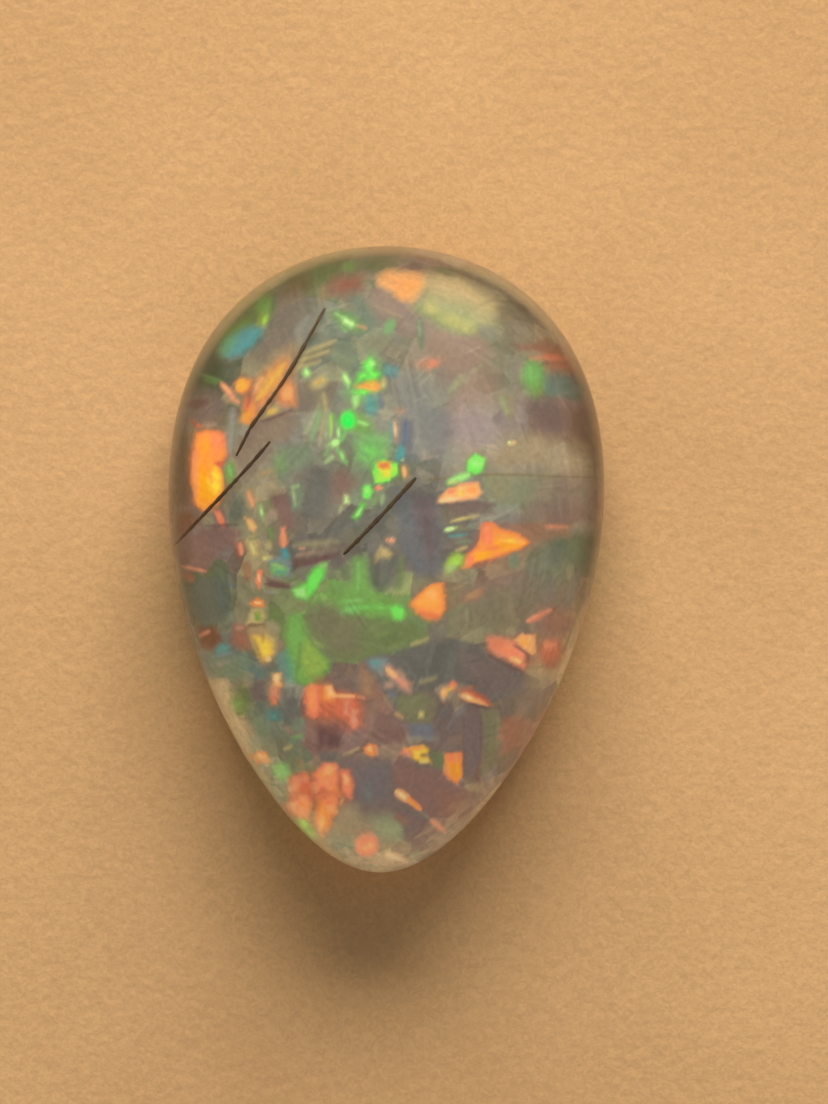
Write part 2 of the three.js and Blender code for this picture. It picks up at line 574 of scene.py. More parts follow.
# Muted domains, each (colour, edge softness, outline in millimetres seen from above)
DOMAINS = [
    # Upper left
    ("moss", 0.1, [(-3.35, 5.0), (-3.0, 5.5), (-2.55, 5.65), (-2.45, 5.25), (-2.55, 4.85), (-3.0, 4.8),
        (-3.5, 4.4), (-3.7, 4.3)]),
    ("slate green", 0.12, [(-4.1, 4.3), (-3.6, 4.3), (-3.35, 4.05), (-3.3, 3.85), (-3.6, 3.5),
        (-4.3, 3.5)]),
    ("stone brown", 0.16, [(-2.45, 5.2), (-2.1, 5.3), (-1.95, 4.8), (-2.1, 4.35), (-2.6, 4.0),
        (-3.0, 4.1), (-2.6, 4.6)]),
    ("grey", 0.08, [(-1.95, 4.85), (-1.6, 5.1), (-1.55, 4.95), (-1.85, 4.5), (-2.0, 4.45)]),
    ("slate mauve", 0.1, [(-4.2, 3.5), (-3.55, 3.5), (-3.4, 3.1), (-3.6, 2.8), (-4.0, 2.75),
        (-4.35, 2.9)]),
    ("brown", 0.1, [(-4.5, 2.7), (-4.1, 2.5), (-4.1, 1.1), (-4.5, 0.9)]),
    ("russet", 0.1, [(-4.5, 0.9), (-4.1, 0.9), (-3.9, 0.75), (-4.4, 0.15)]),
    # Top
    ("moss", 0.14, [(-2.3, 5.95), (-1.1, 6.4), (-1.0, 5.8), (-1.6, 5.6), (-2.2, 5.6)]),
    ("rosewood", 0.12, [(-1.2, 5.85), (-0.6, 5.9), (-0.55, 5.55), (-0.9, 5.4), (-1.35, 5.5)]),
    ("olive", 0.12, [(-0.7, 6.4), (0.2, 6.45), (0.0, 6.05), (-0.4, 5.9), (-0.6, 6.05)]),
    ("grey green", 0.14, [(-0.9, 5.5), (-0.5, 5.5), (-0.2, 5.0), (-0.4, 4.75), (-0.8, 5.1)]),
    ("rose", 0.14, [(-0.3, 5.6), (0.2, 5.4), (0.3, 5.1), (-0.1, 5.1)]),
    # Middle left
    ("taupe", 0.08, [(-2.65, 2.8), (-2.3, 3.0), (-2.0, 3.05), (-1.85, 2.8), (-2.1, 2.4), (-2.6, 2.3),
        (-2.95, 2.1), (-2.9, 2.5)]),
    ("grey green", 0.1, [(-2.3, 2.3), (-1.6, 2.4), (-1.55, 1.9), (-1.9, 1.8), (-2.2, 1.5), (-2.4, 1.9)]),
    ("slate", 0.1, [(-1.74, 1.6), (-1.6, 1.9), (-1.2, 1.9), (-1.12, 1.4), (-1.3, 0.85), (-1.65, 0.8),
        (-1.74, 1.2)]),
    ("mauve", 0.12, [(-1.16, 1.3), (-1.15, 1.75), (-0.95, 1.88), (-0.65, 1.7), (-0.6, 1.5),
        (-0.75, 1.35), (-0.85, 1.15), (-1.0, 1.2)]),
    ("mauve", 0.06, [(-4.4, 0.2), (-3.6, 0.65), (-3.25, 0.65), (-2.98, 0.55), (-3.1, 0.3), (-3.4, 0.1),
        (-3.6, -0.1), (-3.7, -0.3), (-4.3, -0.4)]),
    ("mauve", 0.05, [(-2.4, 1.25), (-2.15, 1.3), (-2.0, 1.0), (-1.95, 0.6), (-2.1, 0.65)]),
    ("dark mauve", 0.04, [(-1.9, 0.0), (-1.2, 0.1), (-0.95, 0.12), (-1.2, 0.0), (-1.6, -0.12),
        (-1.9, -0.15)]),
    ("taupe", 0.06, [(-1.85, 0.05), (-1.2, 0.27), (-0.95, 0.22), (-1.2, 0.12), (-1.8, 0.02)]),
    ("dark mauve", 0.04, [(-2.45, -0.45), (-2.0, -0.55), (-1.9, -0.62), (-2.4, -0.6)]),
    ("dark green", 0.07, [(-4.15, -0.75), (-3.9, -0.5), (-3.55, -0.4), (-3.3, -0.55), (-3.2, -0.9),
        (-3.25, -1.25), (-3.5, -1.45), (-3.9, -1.42), (-4.1, -1.2)]),
    ("russet", 0.06, [(-3.9, -1.45), (-3.55, -1.5), (-3.4, -1.7), (-3.55, -1.95), (-3.8, -1.95)]),
    ("rosewood", 0.06, [(-3.1, -1.45), (-2.85, -1.45), (-2.78, -1.9), (-2.9, -1.95), (-3.15, -1.75)]),
    ("moss", 0.06, [(-2.4, -1.0), (-2.15, -1.05), (-2.05, -1.4), (-2.15, -1.7), (-2.3, -1.4),
        (-2.45, -1.3)]),
    # Centre
    ("grey", 0.16, [(0.1, 3.9), (0.7, 3.9), (1.2, 3.5), (1.2, 2.6), (0.6, 2.1), (0.4, 2.6), (0.2, 3.2)]),
    ("olive", 0.05, [(-1.7, -1.2), (-0.9, -1.05), (0.1, -1.3), (0.9, -1.45), (0.95, -1.62),
        (0.6, -1.8), (-0.3, -2.0), (-0.5, -2.15), (-1.0, -2.15), (-1.25, -1.85), (-1.55, -1.6)]),
    ("moss", 0.14, [(-0.35, -1.15), (0.5, -1.35), (0.85, -1.5), (0.5, -1.75), (0.0, -1.85),
        (-0.35, -1.6)]),
    ("slate", 0.08, [(0.3, 0.35), (0.6, 0.6), (1.1, 0.4), (1.25, -0.1), (1.0, -0.4), (0.6, -0.3),
        (0.35, -0.1)]),
    ("dark green", 0.08, [(-0.3, -0.1), (0.1, -0.1), (0.15, -0.5), (-0.1, -0.65), (-0.35, -0.5)]),
    # Upper right
    ("rose", 0.16, [(0.8, 4.95), (1.4, 4.75), (1.9, 4.7), (2.1, 4.3), (1.7, 3.9), (1.1, 4.0),
        (0.7, 4.4)]),
    ("lilac", 0.18, [(1.3, 3.1), (1.9, 3.0), (2.3, 2.8), (2.2, 2.4), (1.6, 2.4), (1.3, 2.7)]),
    ("rosewood", 0.1, [(2.75, 4.45), (3.3, 4.6), (3.7, 4.55), (3.95, 4.1), (4.0, 3.95), (3.5, 4.05),
        (3.2, 4.25), (3.0, 4.3)]),
    ("grey green", 0.08, [(3.3, 3.9), (3.55, 3.75), (3.6, 3.45), (3.3, 3.45), (3.2, 3.7)]),
    ("dark green", 0.08, [(3.55, 3.9), (4.05, 3.9), (4.25, 3.4), (3.7, 3.4)]),
    ("slate mauve", 0.1, [(2.9, 3.4), (3.8, 3.3), (3.9, 2.8), (3.3, 2.6), (3.0, 3.0)]),
    ("brown", 0.12, [(3.8, 3.2), (4.4, 3.1), (4.5, 2.0), (4.1, 1.9), (3.7, 2.4)]),
    # Right
    ("khaki grey", 0.05, [(2.0, 1.82), (2.6, 1.86), (3.5, 1.84), (3.4, 1.3), (2.6, 1.2), (2.1, 1.3)]),
    ("slate mauve", 0.06, [(1.4, 1.2), (2.1, 1.28), (2.3, 1.0), (1.4, 0.9)]),
    ("mauve", 0.1, [(3.2, 1.25), (4.2, 1.3), (4.3, 0.9), (3.9, 0.85), (3.3, 0.8)]),
    ("dark green", 0.1, [(3.4, 0.5), (4.0, 0.65), (4.35, 0.5), (4.3, -0.3), (3.8, 0.0)]),
    ("stone brown", 0.12, [(2.5, -0.3), (3.2, -0.2), (3.7, -0.5), (3.5, -0.9), (2.9, -0.9), (2.5, -0.7)]),
    ("moss grey", 0.12, [(2.0, -0.6), (2.5, -0.6), (2.6, -1.3), (2.2, -1.5), (1.8, -1.1)]),
    ("mauve", 0.12, [(3.3, -1.1), (3.8, -1.05), (4.0, -1.35), (3.6, -1.6), (3.3, -1.5)]),
    ("slate", 0.04, [(0.25, -1.9), (0.95, -1.68), (1.4, -1.6), (1.9, -1.72), (2.4, -2.03),
        (3.0, -2.32), (2.9, -2.7), (2.4, -2.9), (2.1, -2.9), (1.9, -2.6), (1.5, -2.6), (0.9, -2.5),
        (0.5, -2.4), (0.2, -2.1)]),
    ("slate mauve", 0.16, [(1.6, -1.9), (2.4, -2.1), (2.9, -2.4), (2.7, -2.8), (2.1, -2.8), (1.7, -2.4)]),
    # Lower left
    ("grey green", 0.08, [(-3.5, -2.2), (-2.8, -2.0), (-2.7, -2.5), (-3.1, -2.6), (-3.6, -2.45)]),
    ("teal grey", 0.07, [(-2.8, -2.3), (-2.4, -2.25), (-2.3, -2.55), (-2.7, -2.6)]),
    ("slate mauve", 0.05, [(-2.7, -2.6), (-2.4, -2.55), (-2.4, -3.0), (-2.7, -3.0)]),
    ("slate", 0.05, [(-2.0, -2.9), (-1.7, -2.9), (-1.68, -3.5), (-2.05, -3.5)]),
    ("teal grey", 0.06, [(-2.4, -3.1), (-2.1, -3.1), (-2.05, -3.4), (-2.3, -3.35)]),
    ("moss", 0.05, [(-3.1, -2.75), (-2.85, -2.6), (-2.75, -2.9), (-2.8, -3.3), (-3.0, -3.3),
        (-3.1, -3.0)]),
    ("grey green", 0.06, [(-2.7, -3.3), (-2.4, -3.2), (-2.3, -3.7), (-2.5, -3.8), (-2.7, -3.5)]),
    ("dark mauve", 0.06, [(-1.35, -3.5), (-0.9, -3.5), (-0.9, -3.9), (-1.3, -3.9)]),
    ("mauve", 0.05, [(-0.1, -3.15), (0.05, -3.15), (0.3, -3.4), (0.55, -3.6), (0.4, -3.85),
        (0.0, -3.8), (-0.25, -3.7), (-0.15, -3.4)]),
    ("slate blue", 0.05, [(0.6, -3.4), (1.05, -3.4), (1.1, -3.65), (0.95, -3.75), (0.7, -3.6)]),
    ("olive", 0.06, [(0.3, -2.85), (0.9, -2.8), (1.1, -3.0), (1.0, -3.3), (0.6, -3.38), (0.3, -3.15)]),
    ("dark mauve", 0.05, [(1.1, -3.0), (1.4, -2.9), (1.5, -3.2), (1.3, -3.35), (1.1, -3.3)]),
    ("dark mauve", 0.05, [(1.7, -3.3), (2.1, -3.2), (2.05, -4.6), (1.75, -4.4), (1.7, -3.9)]),
    ("moss grey", 0.05, [(2.1, -3.1), (2.4, -3.1), (2.45, -3.5), (2.35, -4.2), (2.1, -4.4)]),
    ("rosewood", 0.1, [(2.5, -3.3), (2.9, -3.25), (3.0, -3.5), (2.75, -3.95), (2.5, -3.95)]),
    # Tip
    ("mauve", 0.03, [(0.35, -4.0), (0.75, -4.3), (1.1, -4.35), (1.5, -4.62), (1.9, -4.77),
        (2.3, -4.85), (2.0, -5.2), (1.7, -5.45), (1.3, -5.3), (0.9, -5.0), (0.6, -4.75), (0.35, -4.65),
        (0.2, -4.5), (0.3, -4.2)]),
    ("slate", 0.06, [(-0.3, -4.4), (0.2, -4.2), (0.3, -4.6), (0.25, -5.1), (0.0, -5.2), (-0.3, -5.0)]),
    ("slate mauve", 0.12, [(0.3, -5.2), (0.9, -5.1), (1.3, -5.6), (1.0, -6.0), (0.6, -5.9), (0.5, -5.5)]),
    ("grey green", 0.1, [(-0.2, -5.3), (0.2, -5.3), (0.5, -5.6), (0.45, -5.85), (0.1, -5.75),
        (-0.2, -5.5)]),
    ("grey green", 0.08, [(-1.25, -5.8), (-1.0, -5.65), (-0.6, -5.75), (-0.6, -6.0), (-0.9, -6.1),
        (-1.1, -6.0)]),
]


def broad_tone(places):
    """Blend of the tones around each place."""
    weight_sum = np.zeros(len(places))
    tone = np.zeros((len(places), 3))
    for colour, x, y, reach_x, reach_y in TONES:
        weight = np.exp(-((places[:, 0] - x) / reach_x) ** 2 - ((places[:, 1] - y) / reach_y) ** 2) + 1e-9
        tone += weight[:, None] * linear(colour)
        weight_sum += weight
    return tone / weight_sum[:, None]


def paint_grain(p):
    """Uneven cells, each with the broad tone of its place and a shift of its own."""
    muted = np.array([linear(colour) for colour in MUTED])
    centre, key = cells(p.points, GRAIN_CELL, 2)
    p.rgb = broad_tone(centre)
    for cell_key, shift in ((key, GRAIN_SHIFT), (cells(p.points, CHIP_CELL, 3, -50)[1], CHIP_SHIFT)):
        own = pick(muted, chance(cell_key, 21))
        p.rgb += (own - p.rgb) * (shift * chance(cell_key, 22))[:, None]
        p.rgb *= (1 + shift * (chance(cell_key, 23) - 0.5))[:, None]
    hidden = (p.points[:, 2] < SIDE_FLASH_TOP) & (chance(key, 24) < SIDE_FLASH_SHARE)
    hidden &= (outline_share(p.seen) > STEEP_FROM) | ~p.upper
    bright = np.array([linear(colour) for colour in HIDDEN_FLASHES])
    p.rgb[hidden] = pick(bright, chance(key, 25))[hidden]


def paint_stripes(p):
    """Parallel bars of uneven brightness that run their own way in each domain."""
    _, key = cells(p.points, STRIPE_CELL, 4, 10, 1.2)
    way = chance(key, 31) * math.pi
    across = p.points[:, 0] * np.cos(way) + p.points[:, 1] * np.sin(way)
    width = STRIPE_WIDTH * (0.7 + chance(key, 32))
    bar = np.floor(across / width)
    run = across / width - bar
    here, beyond = (chance(key + (bar + step).astype(np.int64)[:, None], 34) for step in (0, 1))
    wave = here + (beyond - here) * np.clip((run - 0.5) * 2, 0, 1) - 0.5
    p.rgb *= (1 + STRIPE_DEPTH * chance(key, 33) * 2 * wave)[:, None]


def paint_rim_shade_and_light(p):
    """Painted shade and light: a dark rim with a paler edge around the round end, and a pale rim around
    the narrow end where light comes through.
    """
    x, y = p.seen.T
    everywhere = np.arange(len(x))
    out = outline_share(p.seen)
    share = np.clip((out - RIM_FROM) / (RIM_TO - RIM_FROM), 0, 1)
    share[~p.upper] = 1
    dark = np.interp(y + DARK_RIM_LEAN * x, DARK_RIM_PLACES, (DARK_RIM_LEAST, 1))
    dark *= np.interp(y, TOP_RIM_PLACES, (1, TOP_RIM_SHARE))
    right = np.interp(x, RIGHT_RIM_PLACES, (1, RIGHT_RIM_GAIN))
    # Painted shade along the rim
    p.rgb *= (1 - RIM_SHADE * share * dark * right)[:, None]
    # Painted light: the card's colour through the clear edge outside the dark rim
    glint = np.clip((out - RIM_GLINT_FROM) / (RIM_GLINT_TO - RIM_GLINT_FROM), 0, 1) * dark * p.upper
    glint *= np.interp(y, RIM_GLINT_PLACES, (RIM_GLINT_LEAST, 1))
    p.cover("card glow", RIM_GLINT * glint, everywhere)
    # Painted light: the pale rim of the narrow end, lit through the stone
    pale = np.interp(y + PALE_RIM_LEAN * x, PALE_RIM_PLACES, (1, 0))
    _, key = cells(p.points, CHIP_CELL, 6)
    p.cover("pale cream", PALE_RIM_SHARE * share * pale * chance(key, 61), everywhere)


def paint_gathered_light(p):
    """The narrow end is lit through the stone, and the end that faces the light is not."""
    p.rgb *= np.interp(p.points[:, 1], GATHER_PLACES, GATHER_SHARES)[:, None]
    p.rgb = np.minimum(p.rgb, 1.0)


def paint_domains(p):
    """The muted domains, under everything brighter."""
    for colour, soft, outline in DOMAINS:
        p.patch(colour, outline, soft, DOMAIN_STRENGTH)


def paint_top_left(p):
    p.patch("moss", [(-3.5, 4.5), (-3.1, 5.1), (-2.5, 5.55), (-2.45, 5.1), (-2.7, 4.85),
            (-3.1, 4.75)], 0.08, 0.8)
    p.patch("stone brown", [(-2.4, 5.5), (-1.9, 5.6), (-1.5, 5.3), (-1.9, 4.7), (-2.1, 4.3),
            (-2.5, 4.6), (-2.4, 5.1)], 0.15, 0.8)
    p.spot("leaf", -3.22, 4.56, 0.85, 0.42, 42, 0.8, 0.7)
    p.patch("sky", [(-2.66, 4.76), (-2.68, 4.6), (-2.85, 4.38), (-3.05, 4.2), (-3.3, 4.12),
            (-3.48, 4.2), (-3.46, 4.36), (-3.3, 4.54), (-3.08, 4.7), (-2.85, 4.8)], 0.09)
    p.spot("fern", -3.34, 4.36, 0.5, 0.2, 50, 1.2, 0.5)
    p.patch("yellow green", [(-2.76, 4.84), (-2.6, 4.78), (-2.5, 5.0), (-2.5, 5.25),
            (-2.66, 5.2)], 0.07, 0.9)
    p.spot("lime", -2.6, 4.95, 0.1, 0.24, -20, 0.9, 0.5)
    p.spot("leaf", -2.62, 5.25, 0.4, 0.4, 30, 0.9, 0.9)
    p.streak("slate green", (-2.4, 5.45), (-2.5, 4.72), 0.07, 0.06, 0.7)
    p.streak("slate green", (-2.52, 4.72), (-2.9, 4.2), 0.07, 0.06, 0.7)
    p.patch("deep green", [(-4.15, 4.2), (-3.65, 4.2), (-3.4, 3.95), (-3.5, 3.5),
            (-4.25, 3.4)], 0.16, 0.95)
    p.streak("leaf", (-3.95, 3.78), (-3.45, 3.62), 0.06, 0.04, 0.8)
    p.streak("leaf", (-3.85, 3.66), (-3.55, 3.58), 0.05, 0.04, 0.6)
    p.spot("grey", -1.82, 4.78, 0.2, 0.44, -30, 0.9, 0.9)
    p.streak("grey", (-1.95, 4.7), (-1.7, 4.98), 0.06)
    p.spot("dark mauve", -4.0, 3.15, 0.5, 0.2, 10, 0.8, 0.9)
    p.patch("russet", [(-2.1, 5.85), (-1.8, 5.95), (-1.6, 5.65), (-2.0, 5.4), (-2.3, 5.5)], 0.12, 0.45)


def paint_orange_band(p):
    """Slanting orange band on both sides of the first needle."""
    p.patch("tan", [(-2.35, 4.25), (-2.1, 4.4), (-1.9, 4.45), (-1.88, 4.0), (-2.0, 3.6),
            (-2.7, 3.6)], 0.12, 0.8)
    p.patch("orange", [(-2.3, 4.1), (-2.12, 4.15), (-2.0, 3.95), (-2.75, 2.85), (-2.98, 2.78),
            (-2.95, 3.3), (-2.78, 3.66), (-2.55, 3.85)], 0.1, 0.5)
    for step in range(5):
        x = -2.66 + 0.11 * step
        p.streak(("tan", "gold", "orange", "gold", "tan")[step], (x - 0.2, 3.3 - 0.08 * step),
                (x + 0.14, 3.92 + 0.03 * step), 0.06, 0.04, 0.45)
    p.streak("gold", (-2.15, 4.05), (-2.72, 3.25), 0.13, 0.05, 0.7)
    p.streak("peach", (-2.6, 3.75), (-2.86, 3.35), 0.1, 0.05, 0.7)
    p.patch("amber", [(-3.1, 2.82), (-2.92, 3.2), (-2.8, 3.1), (-2.86, 2.75)], 0.08, 0.6)
    p.patch("orange", [(-2.36, 3.56), (-2.1, 3.72), (-1.95, 3.55), (-1.93, 3.18),
            (-2.28, 3.16)], 0.1, 0.7)
    p.spot("peach", -2.12, 3.42, 0.22, 0.3, 20, 0.9, 0.6)
    p.streak("tan", (-2.3, 3.55), (-2.45, 3.15), 0.07, 0.04, 0.8)
    p.patch("khaki", [(-2.62, 2.85), (-2.2, 3.02), (-2.28, 3.2), (-2.5, 3.12)], 0.05, 0.9)
    p.spot("gold", -2.42, 3.02, 0.2, 0.12, 20, 0.9, 0.7)
    p.streak("dark mauve", (-2.62, 2.8), (-1.98, 3.06), 0.05)
    p.spot("red", -2.92, 3.2, 0.16, 0.36, -10, 0.8, 0.8)
    p.streak("brick", (-2.8, 3.55), (-2.93, 3.1), 0.06, 0.03, 0.7)
    p.patch("rosewood", [(-3.26, 3.55), (-3.0, 3.78), (-2.8, 3.66), (-2.85, 3.3),
            (-3.05, 3.3)], 0.08, 0.8)
    p.patch("orange", [(-3.2, 3.58), (-3.08, 3.68), (-2.9, 3.66), (-2.88, 3.48), (-3.02, 3.4)], 0.06)
    p.spot("yellow", -3.03, 3.56, 0.26, 0.18, 35, 1.0, 0.7)
    p.streak("orange", (-3.2, 3.42), (-2.82, 3.7), 0.1, 0.05, 0.5)
    p.streak("salmon", (-3.5, 3.62), (-3.2, 3.28), 0.13, 0.04)
    p.streak("peach", (-3.46, 3.58), (-3.28, 3.38), 0.06, 0.03, 0.8)
    p.streak("salmon", (-3.3, 3.3), (-3.08, 3.18), 0.07)


def paint_khaki_fan(p):
    """Fine streaks that fan out under the first needle's upper end."""
    p.patch("khaki grey", [(-1.98, 4.1), (-1.8, 4.3), (-1.2, 4.5), (-1.15, 4.3), (-1.85, 3.85)], 0.1, 0.6)
    for line in range(5):
        p.streak(("khaki", "moss grey")[line % 2], (-1.95 + 0.03 * line, 3.95 + 0.07 * line),
                (-1.4 + 0.08 * line, 4.1 + 0.11 * line), 0.09, 0.04, 0.8)
    p.spot("khaki", -1.85, 4.05, 0.14, 0.36, -30, 0.9, 0.7)
    p.streak("khaki grey", (-1.82, 4.75), (-1.9, 4.35), 0.07, 0.04, 0.8)
    p.patch("mint", [(-1.82, 3.86), (-1.72, 3.95), (-1.63, 3.86), (-1.66, 3.76), (-1.76, 3.76)], 0.04)
    p.spot("ice", -1.72, 3.85, 0.08, 0.08, 0, 0.9, 0.7)
    p.spot("khaki", -1.45, 3.65, 0.4, 0.26, 30, 0.8, 0.9)
    p.streak("gold", (-1.58, 3.6), (-1.34, 3.7), 0.05, 0.04, 0.6)
    blades = [(-1.72, 2.55, "pale green"), (-1.6, 2.38, "fern"), (-1.42, 2.3, "khaki"),
        (-1.3, 2.45, "pale green"), (-1.18, 2.5, "lime"), (-1.0, 2.62, "fern")]
    for blade, (x, y, colour) in enumerate(blades):
        p.streak(colour, (-1.42 + 0.06 * blade, 3.2 - 0.04 * blade), (x, y), 0.07, 0.04, 0.6)
    p.spot("khaki grey", -1.35, 3.25, 0.3, 0.4, 30, 0.9, 0.7)
    p.streak("khaki", (-1.35, 3.45), (-1.28, 3.05), 0.08, 0.04, 0.7)


def paint_left_flash(p):
    outline = [(-4.0, 2.55), (-3.75, 2.62), (-3.55, 2.6), (-3.4, 2.48), (-3.34, 2.2), (-3.38, 2.0),
        (-3.5, 1.93), (-3.42, 1.75), (-3.4, 1.45), (-3.5, 1.12), (-3.75, 0.98), (-3.97, 1.1),
        (-4.05, 1.5), (-4.08, 2.0)]
    p.patch("brick", outline, 0.17, 0.75)
    p.patch("orange", outline, 0.06)
    p.spot("coral", -3.56, 2.4, 0.34, 0.34, 0, 1.0, 0.7)
    p.spot("amber", -3.72, 1.5, 0.52, 0.9, 5, 0.9)
    p.spot("amber", -3.78, 2.25, 0.24, 0.4, 5, 1.0, 0.6)
    p.patch("yellow", [(-3.68, 1.72), (-3.54, 1.82), (-3.43, 1.65), (-3.43, 1.38), (-3.58, 1.28),
            (-3.7, 1.48)], 0.08, 0.9)
    p.streak("orange", (-3.76, 2.0), (-3.62, 1.5), 0.06, 0.04, 0.8)
    p.streak("salmon", (-4.0, 2.2), (-3.96, 1.2), 0.08, 0.05, 0.7)
    p.patch("red", [(-3.36, 1.99), (-3.5, 1.97), (-3.6, 1.93), (-3.48, 1.88), (-3.38, 1.9)], 0.03)
    p.streak("brick", (-4.12, 2.85), (-3.95, 2.68), 0.1, 0.04, 0.9)
    p.streak("red", (-3.98, 2.72), (-3.85, 2.66), 0.06)
    p.streak("rose", (-3.86, 2.7), (-3.55, 2.74), 0.1, 0.04, 0.8)
    p.streak("grey", (-3.22, 3.1), (-3.26, 2.1), 0.22, 0.07, 0.9)
    p.streak("grey green", (-3.15, 2.9), (-3.2, 2.1), 0.06, 0.03, 0.8)
    p.spot("grey", -2.98, 2.62, 0.2, 0.24, -20, 0.8, 0.9)
    p.spot("leaf", -3.24, 1.75, 0.22, 0.42, 0, 0.9, 0.8)
    p.streak("fern", (-3.3, 1.9), (-3.22, 1.65), 0.06, 0.03, 0.8)


def paint_left_middle(p):
    p.patch("coral", [(-3.58, 0.9), (-3.45, 0.93), (-3.34, 0.75), (-3.36, 0.62), (-3.5, 0.68)], 0.04)
    p.spot("salmon", -3.45, 0.8, 0.1, 0.16, -20, 0.9, 0.6)
    p.spot("khaki grey", -3.7, 0.72, 0.2, 0.3, 20, 0.8)
    p.streak("dark mauve", (-3.75, 0.62), (-3.05, 0.66), 0.06, 0.03, 0.9)
    p.streak("salmon", (-4.25, -0.22), (-3.7, -0.33), 0.07, 0.03, 0.7)
    p.streak("brick", (-4.25, -0.38), (-3.95, -0.5), 0.16, 0.06, 0.7)
    p.spot("slate green", -3.1, 0.95, 0.36, 0.6, -10, 0.8, 0.9)
    p.patch("tan", [(-2.95, 1.4), (-2.8, 1.42), (-2.7, 1.2), (-2.72, 1.0), (-2.86, 1.02)], 0.05)
    p.streak("salmon", (-2.88, 1.35), (-2.76, 1.05), 0.07, 0.03, 0.9)
    p.patch("pale green", [(-2.68, 1.1), (-2.58, 1.12), (-2.5, 0.85), (-2.55, 0.74), (-2.64, 0.85)], 0.04)
    p.streak("mint", (-2.6, 1.0), (-2.57, 0.85), 0.05, 0.02, 0.7)
    p.patch("slate", [(-1.75, 1.6), (-1.2, 1.6), (-0.85, 0.9), (-0.95, 0.38), (-1.6, 0.3),
            (-1.8, 0.8)], 0.16, 0.65)
    p.patch("dark mauve", [(-2.45, 1.35), (-2.1, 1.4), (-2.05, 1.1), (-2.3, 1.05)], 0.08, 0.5)
    p.patch("mauve", [(-2.2, 1.05), (-2.0, 1.05), (-1.95, 0.6), (-2.12, 0.55), (-2.25, 0.75)], 0.06, 0.8)
    p.spot("rose", -2.35, 0.92, 0.16, 0.18, 0, 0.8, 0.8)
    p.patch("grey green", [(-2.02, 1.5), (-1.78, 1.58), (-1.72, 1.3), (-1.78, 1.0),
            (-1.95, 0.98)], 0.04, 0.9)
    p.streak("pale green", (-2.0, 1.45), (-1.8, 1.5), 0.05)
    p.streak("pale green", (-1.95, 1.42), (-1.88, 1.05), 0.05, 0.03, 0.8)
    p.patch("khaki grey", [(-2.75, 1.65), (-2.6, 1.85), (-2.3, 1.88), (-2.3, 1.7),
            (-2.5, 1.6)], 0.06, 0.9)
    p.streak("tan", (-2.68, 1.7), (-2.38, 1.8), 0.06, 0.03, 0.8)
    p.patch("leaf", [(-2.35, 2.1), (-2.15, 2.15), (-2.1, 1.8), (-2.3, 1.78)], 0.08, 0.45)
    p.patch("peach", [(-2.92, 0.8), (-2.8, 0.78), (-2.68, 0.6), (-2.74, 0.5), (-2.85, 0.58)], 0.04)
    p.streak("straw", (-2.85, 0.72), (-2.74, 0.58), 0.05, 0.02, 0.8)
    p.patch("salmon", [(-2.2, 0.62), (-2.1, 0.65), (-2.02, 0.3), (-2.1, 0.18), (-2.18, 0.3)], 0.04)
    p.streak("orange", (-2.13, 0.5), (-2.1, 0.3), 0.05, 0.03, 0.7)
    p.patch("brick", [(-3.12, 0.3), (-2.98, 0.35), (-2.9, 0.1), (-3.02, -0.05), (-3.1, 0.05)], 0.06, 0.9)
    p.streak("salmon", (-3.02, 0.3), (-2.98, 0.02), 0.09, 0.04)
    p.patch("khaki", [(-2.92, 0.38), (-2.7, 0.46), (-2.58, 0.28), (-2.62, 0.02),
            (-2.82, -0.02)], 0.05, 0.85)
    p.streak("olive", (-2.85, 0.36), (-2.6, 0.4), 0.05, 0.03, 0.8)
    p.streak("straw", (-2.8, 0.3), (-2.72, 0.05), 0.06, 0.03, 0.7)
    p.streak("tan", (-2.66, 0.38), (-2.6, 0.1), 0.05, 0.03, 0.7)
    p.patch("leaf", [(-2.5, 0.62), (-2.4, 0.65), (-2.34, 0.42), (-2.42, 0.36)], 0.05, 0.6)
    p.spot("khaki", -2.42, 0.25, 0.16, 0.22, 0, 0.8, 0.7)
    p.streak("straw", (-2.55, -0.02), (-2.28, -0.06), 0.09)
    p.patch("blue grey", [(-2.45, -0.05), (-2.05, 0.1), (-1.95, -0.1), (-1.98, -0.42),
            (-2.3, -0.45)], 0.05)
    p.patch("sky", [(-2.22, 0.16), (-2.05, 0.2), (-1.98, 0.02), (-2.12, -0.04)], 0.04)
    p.patch("fern", [(-2.4, -0.12), (-2.2, -0.12), (-2.02, -0.25), (-2.1, -0.4),
            (-2.35, -0.38)], 0.04, 0.8)
    p.streak("pale green", (-2.38, -0.14), (-2.1, -0.2), 0.05, 0.03, 0.8)
    p.streak("teal", (-2.3, -0.32), (-2.02, -0.3), 0.06, 0.03, 0.7)
    p.patch("coral", [(-2.68, -0.28), (-2.58, -0.26), (-2.55, -0.55), (-2.6, -0.66),
            (-2.67, -0.55)], 0.035)
    p.streak("pale peach", (-2.63, -0.35), (-2.6, -0.52), 0.05, 0.02, 0.7)
    p.patch("brick", [(-2.98, -0.15), (-2.85, -0.1), (-2.78, -0.45), (-2.9, -0.55)], 0.06, 0.6)
    p.streak("khaki grey", (-1.95, 0.24), (-0.95, 0.36), 0.14, 0.05, 0.8)
    p.streak("pink", (-1.85, 0.05), (-1.45, 0.13), 0.06, 0.03, 0.4)
    p.streak("salmon", (-1.8, 0.18), (-1.65, 0.2), 0.05, 0.03, 0.6)
    p.streak("dark mauve", (-1.92, -0.2), (-1.0, 0.06), 0.1, 0.04)
    p.streak("dark mauve", (-2.5, -0.56), (-1.95, -0.62), 0.1, 0.03)
    p.streak("grey", (-2.5, -0.72), (-2.2, -0.74), 0.05)


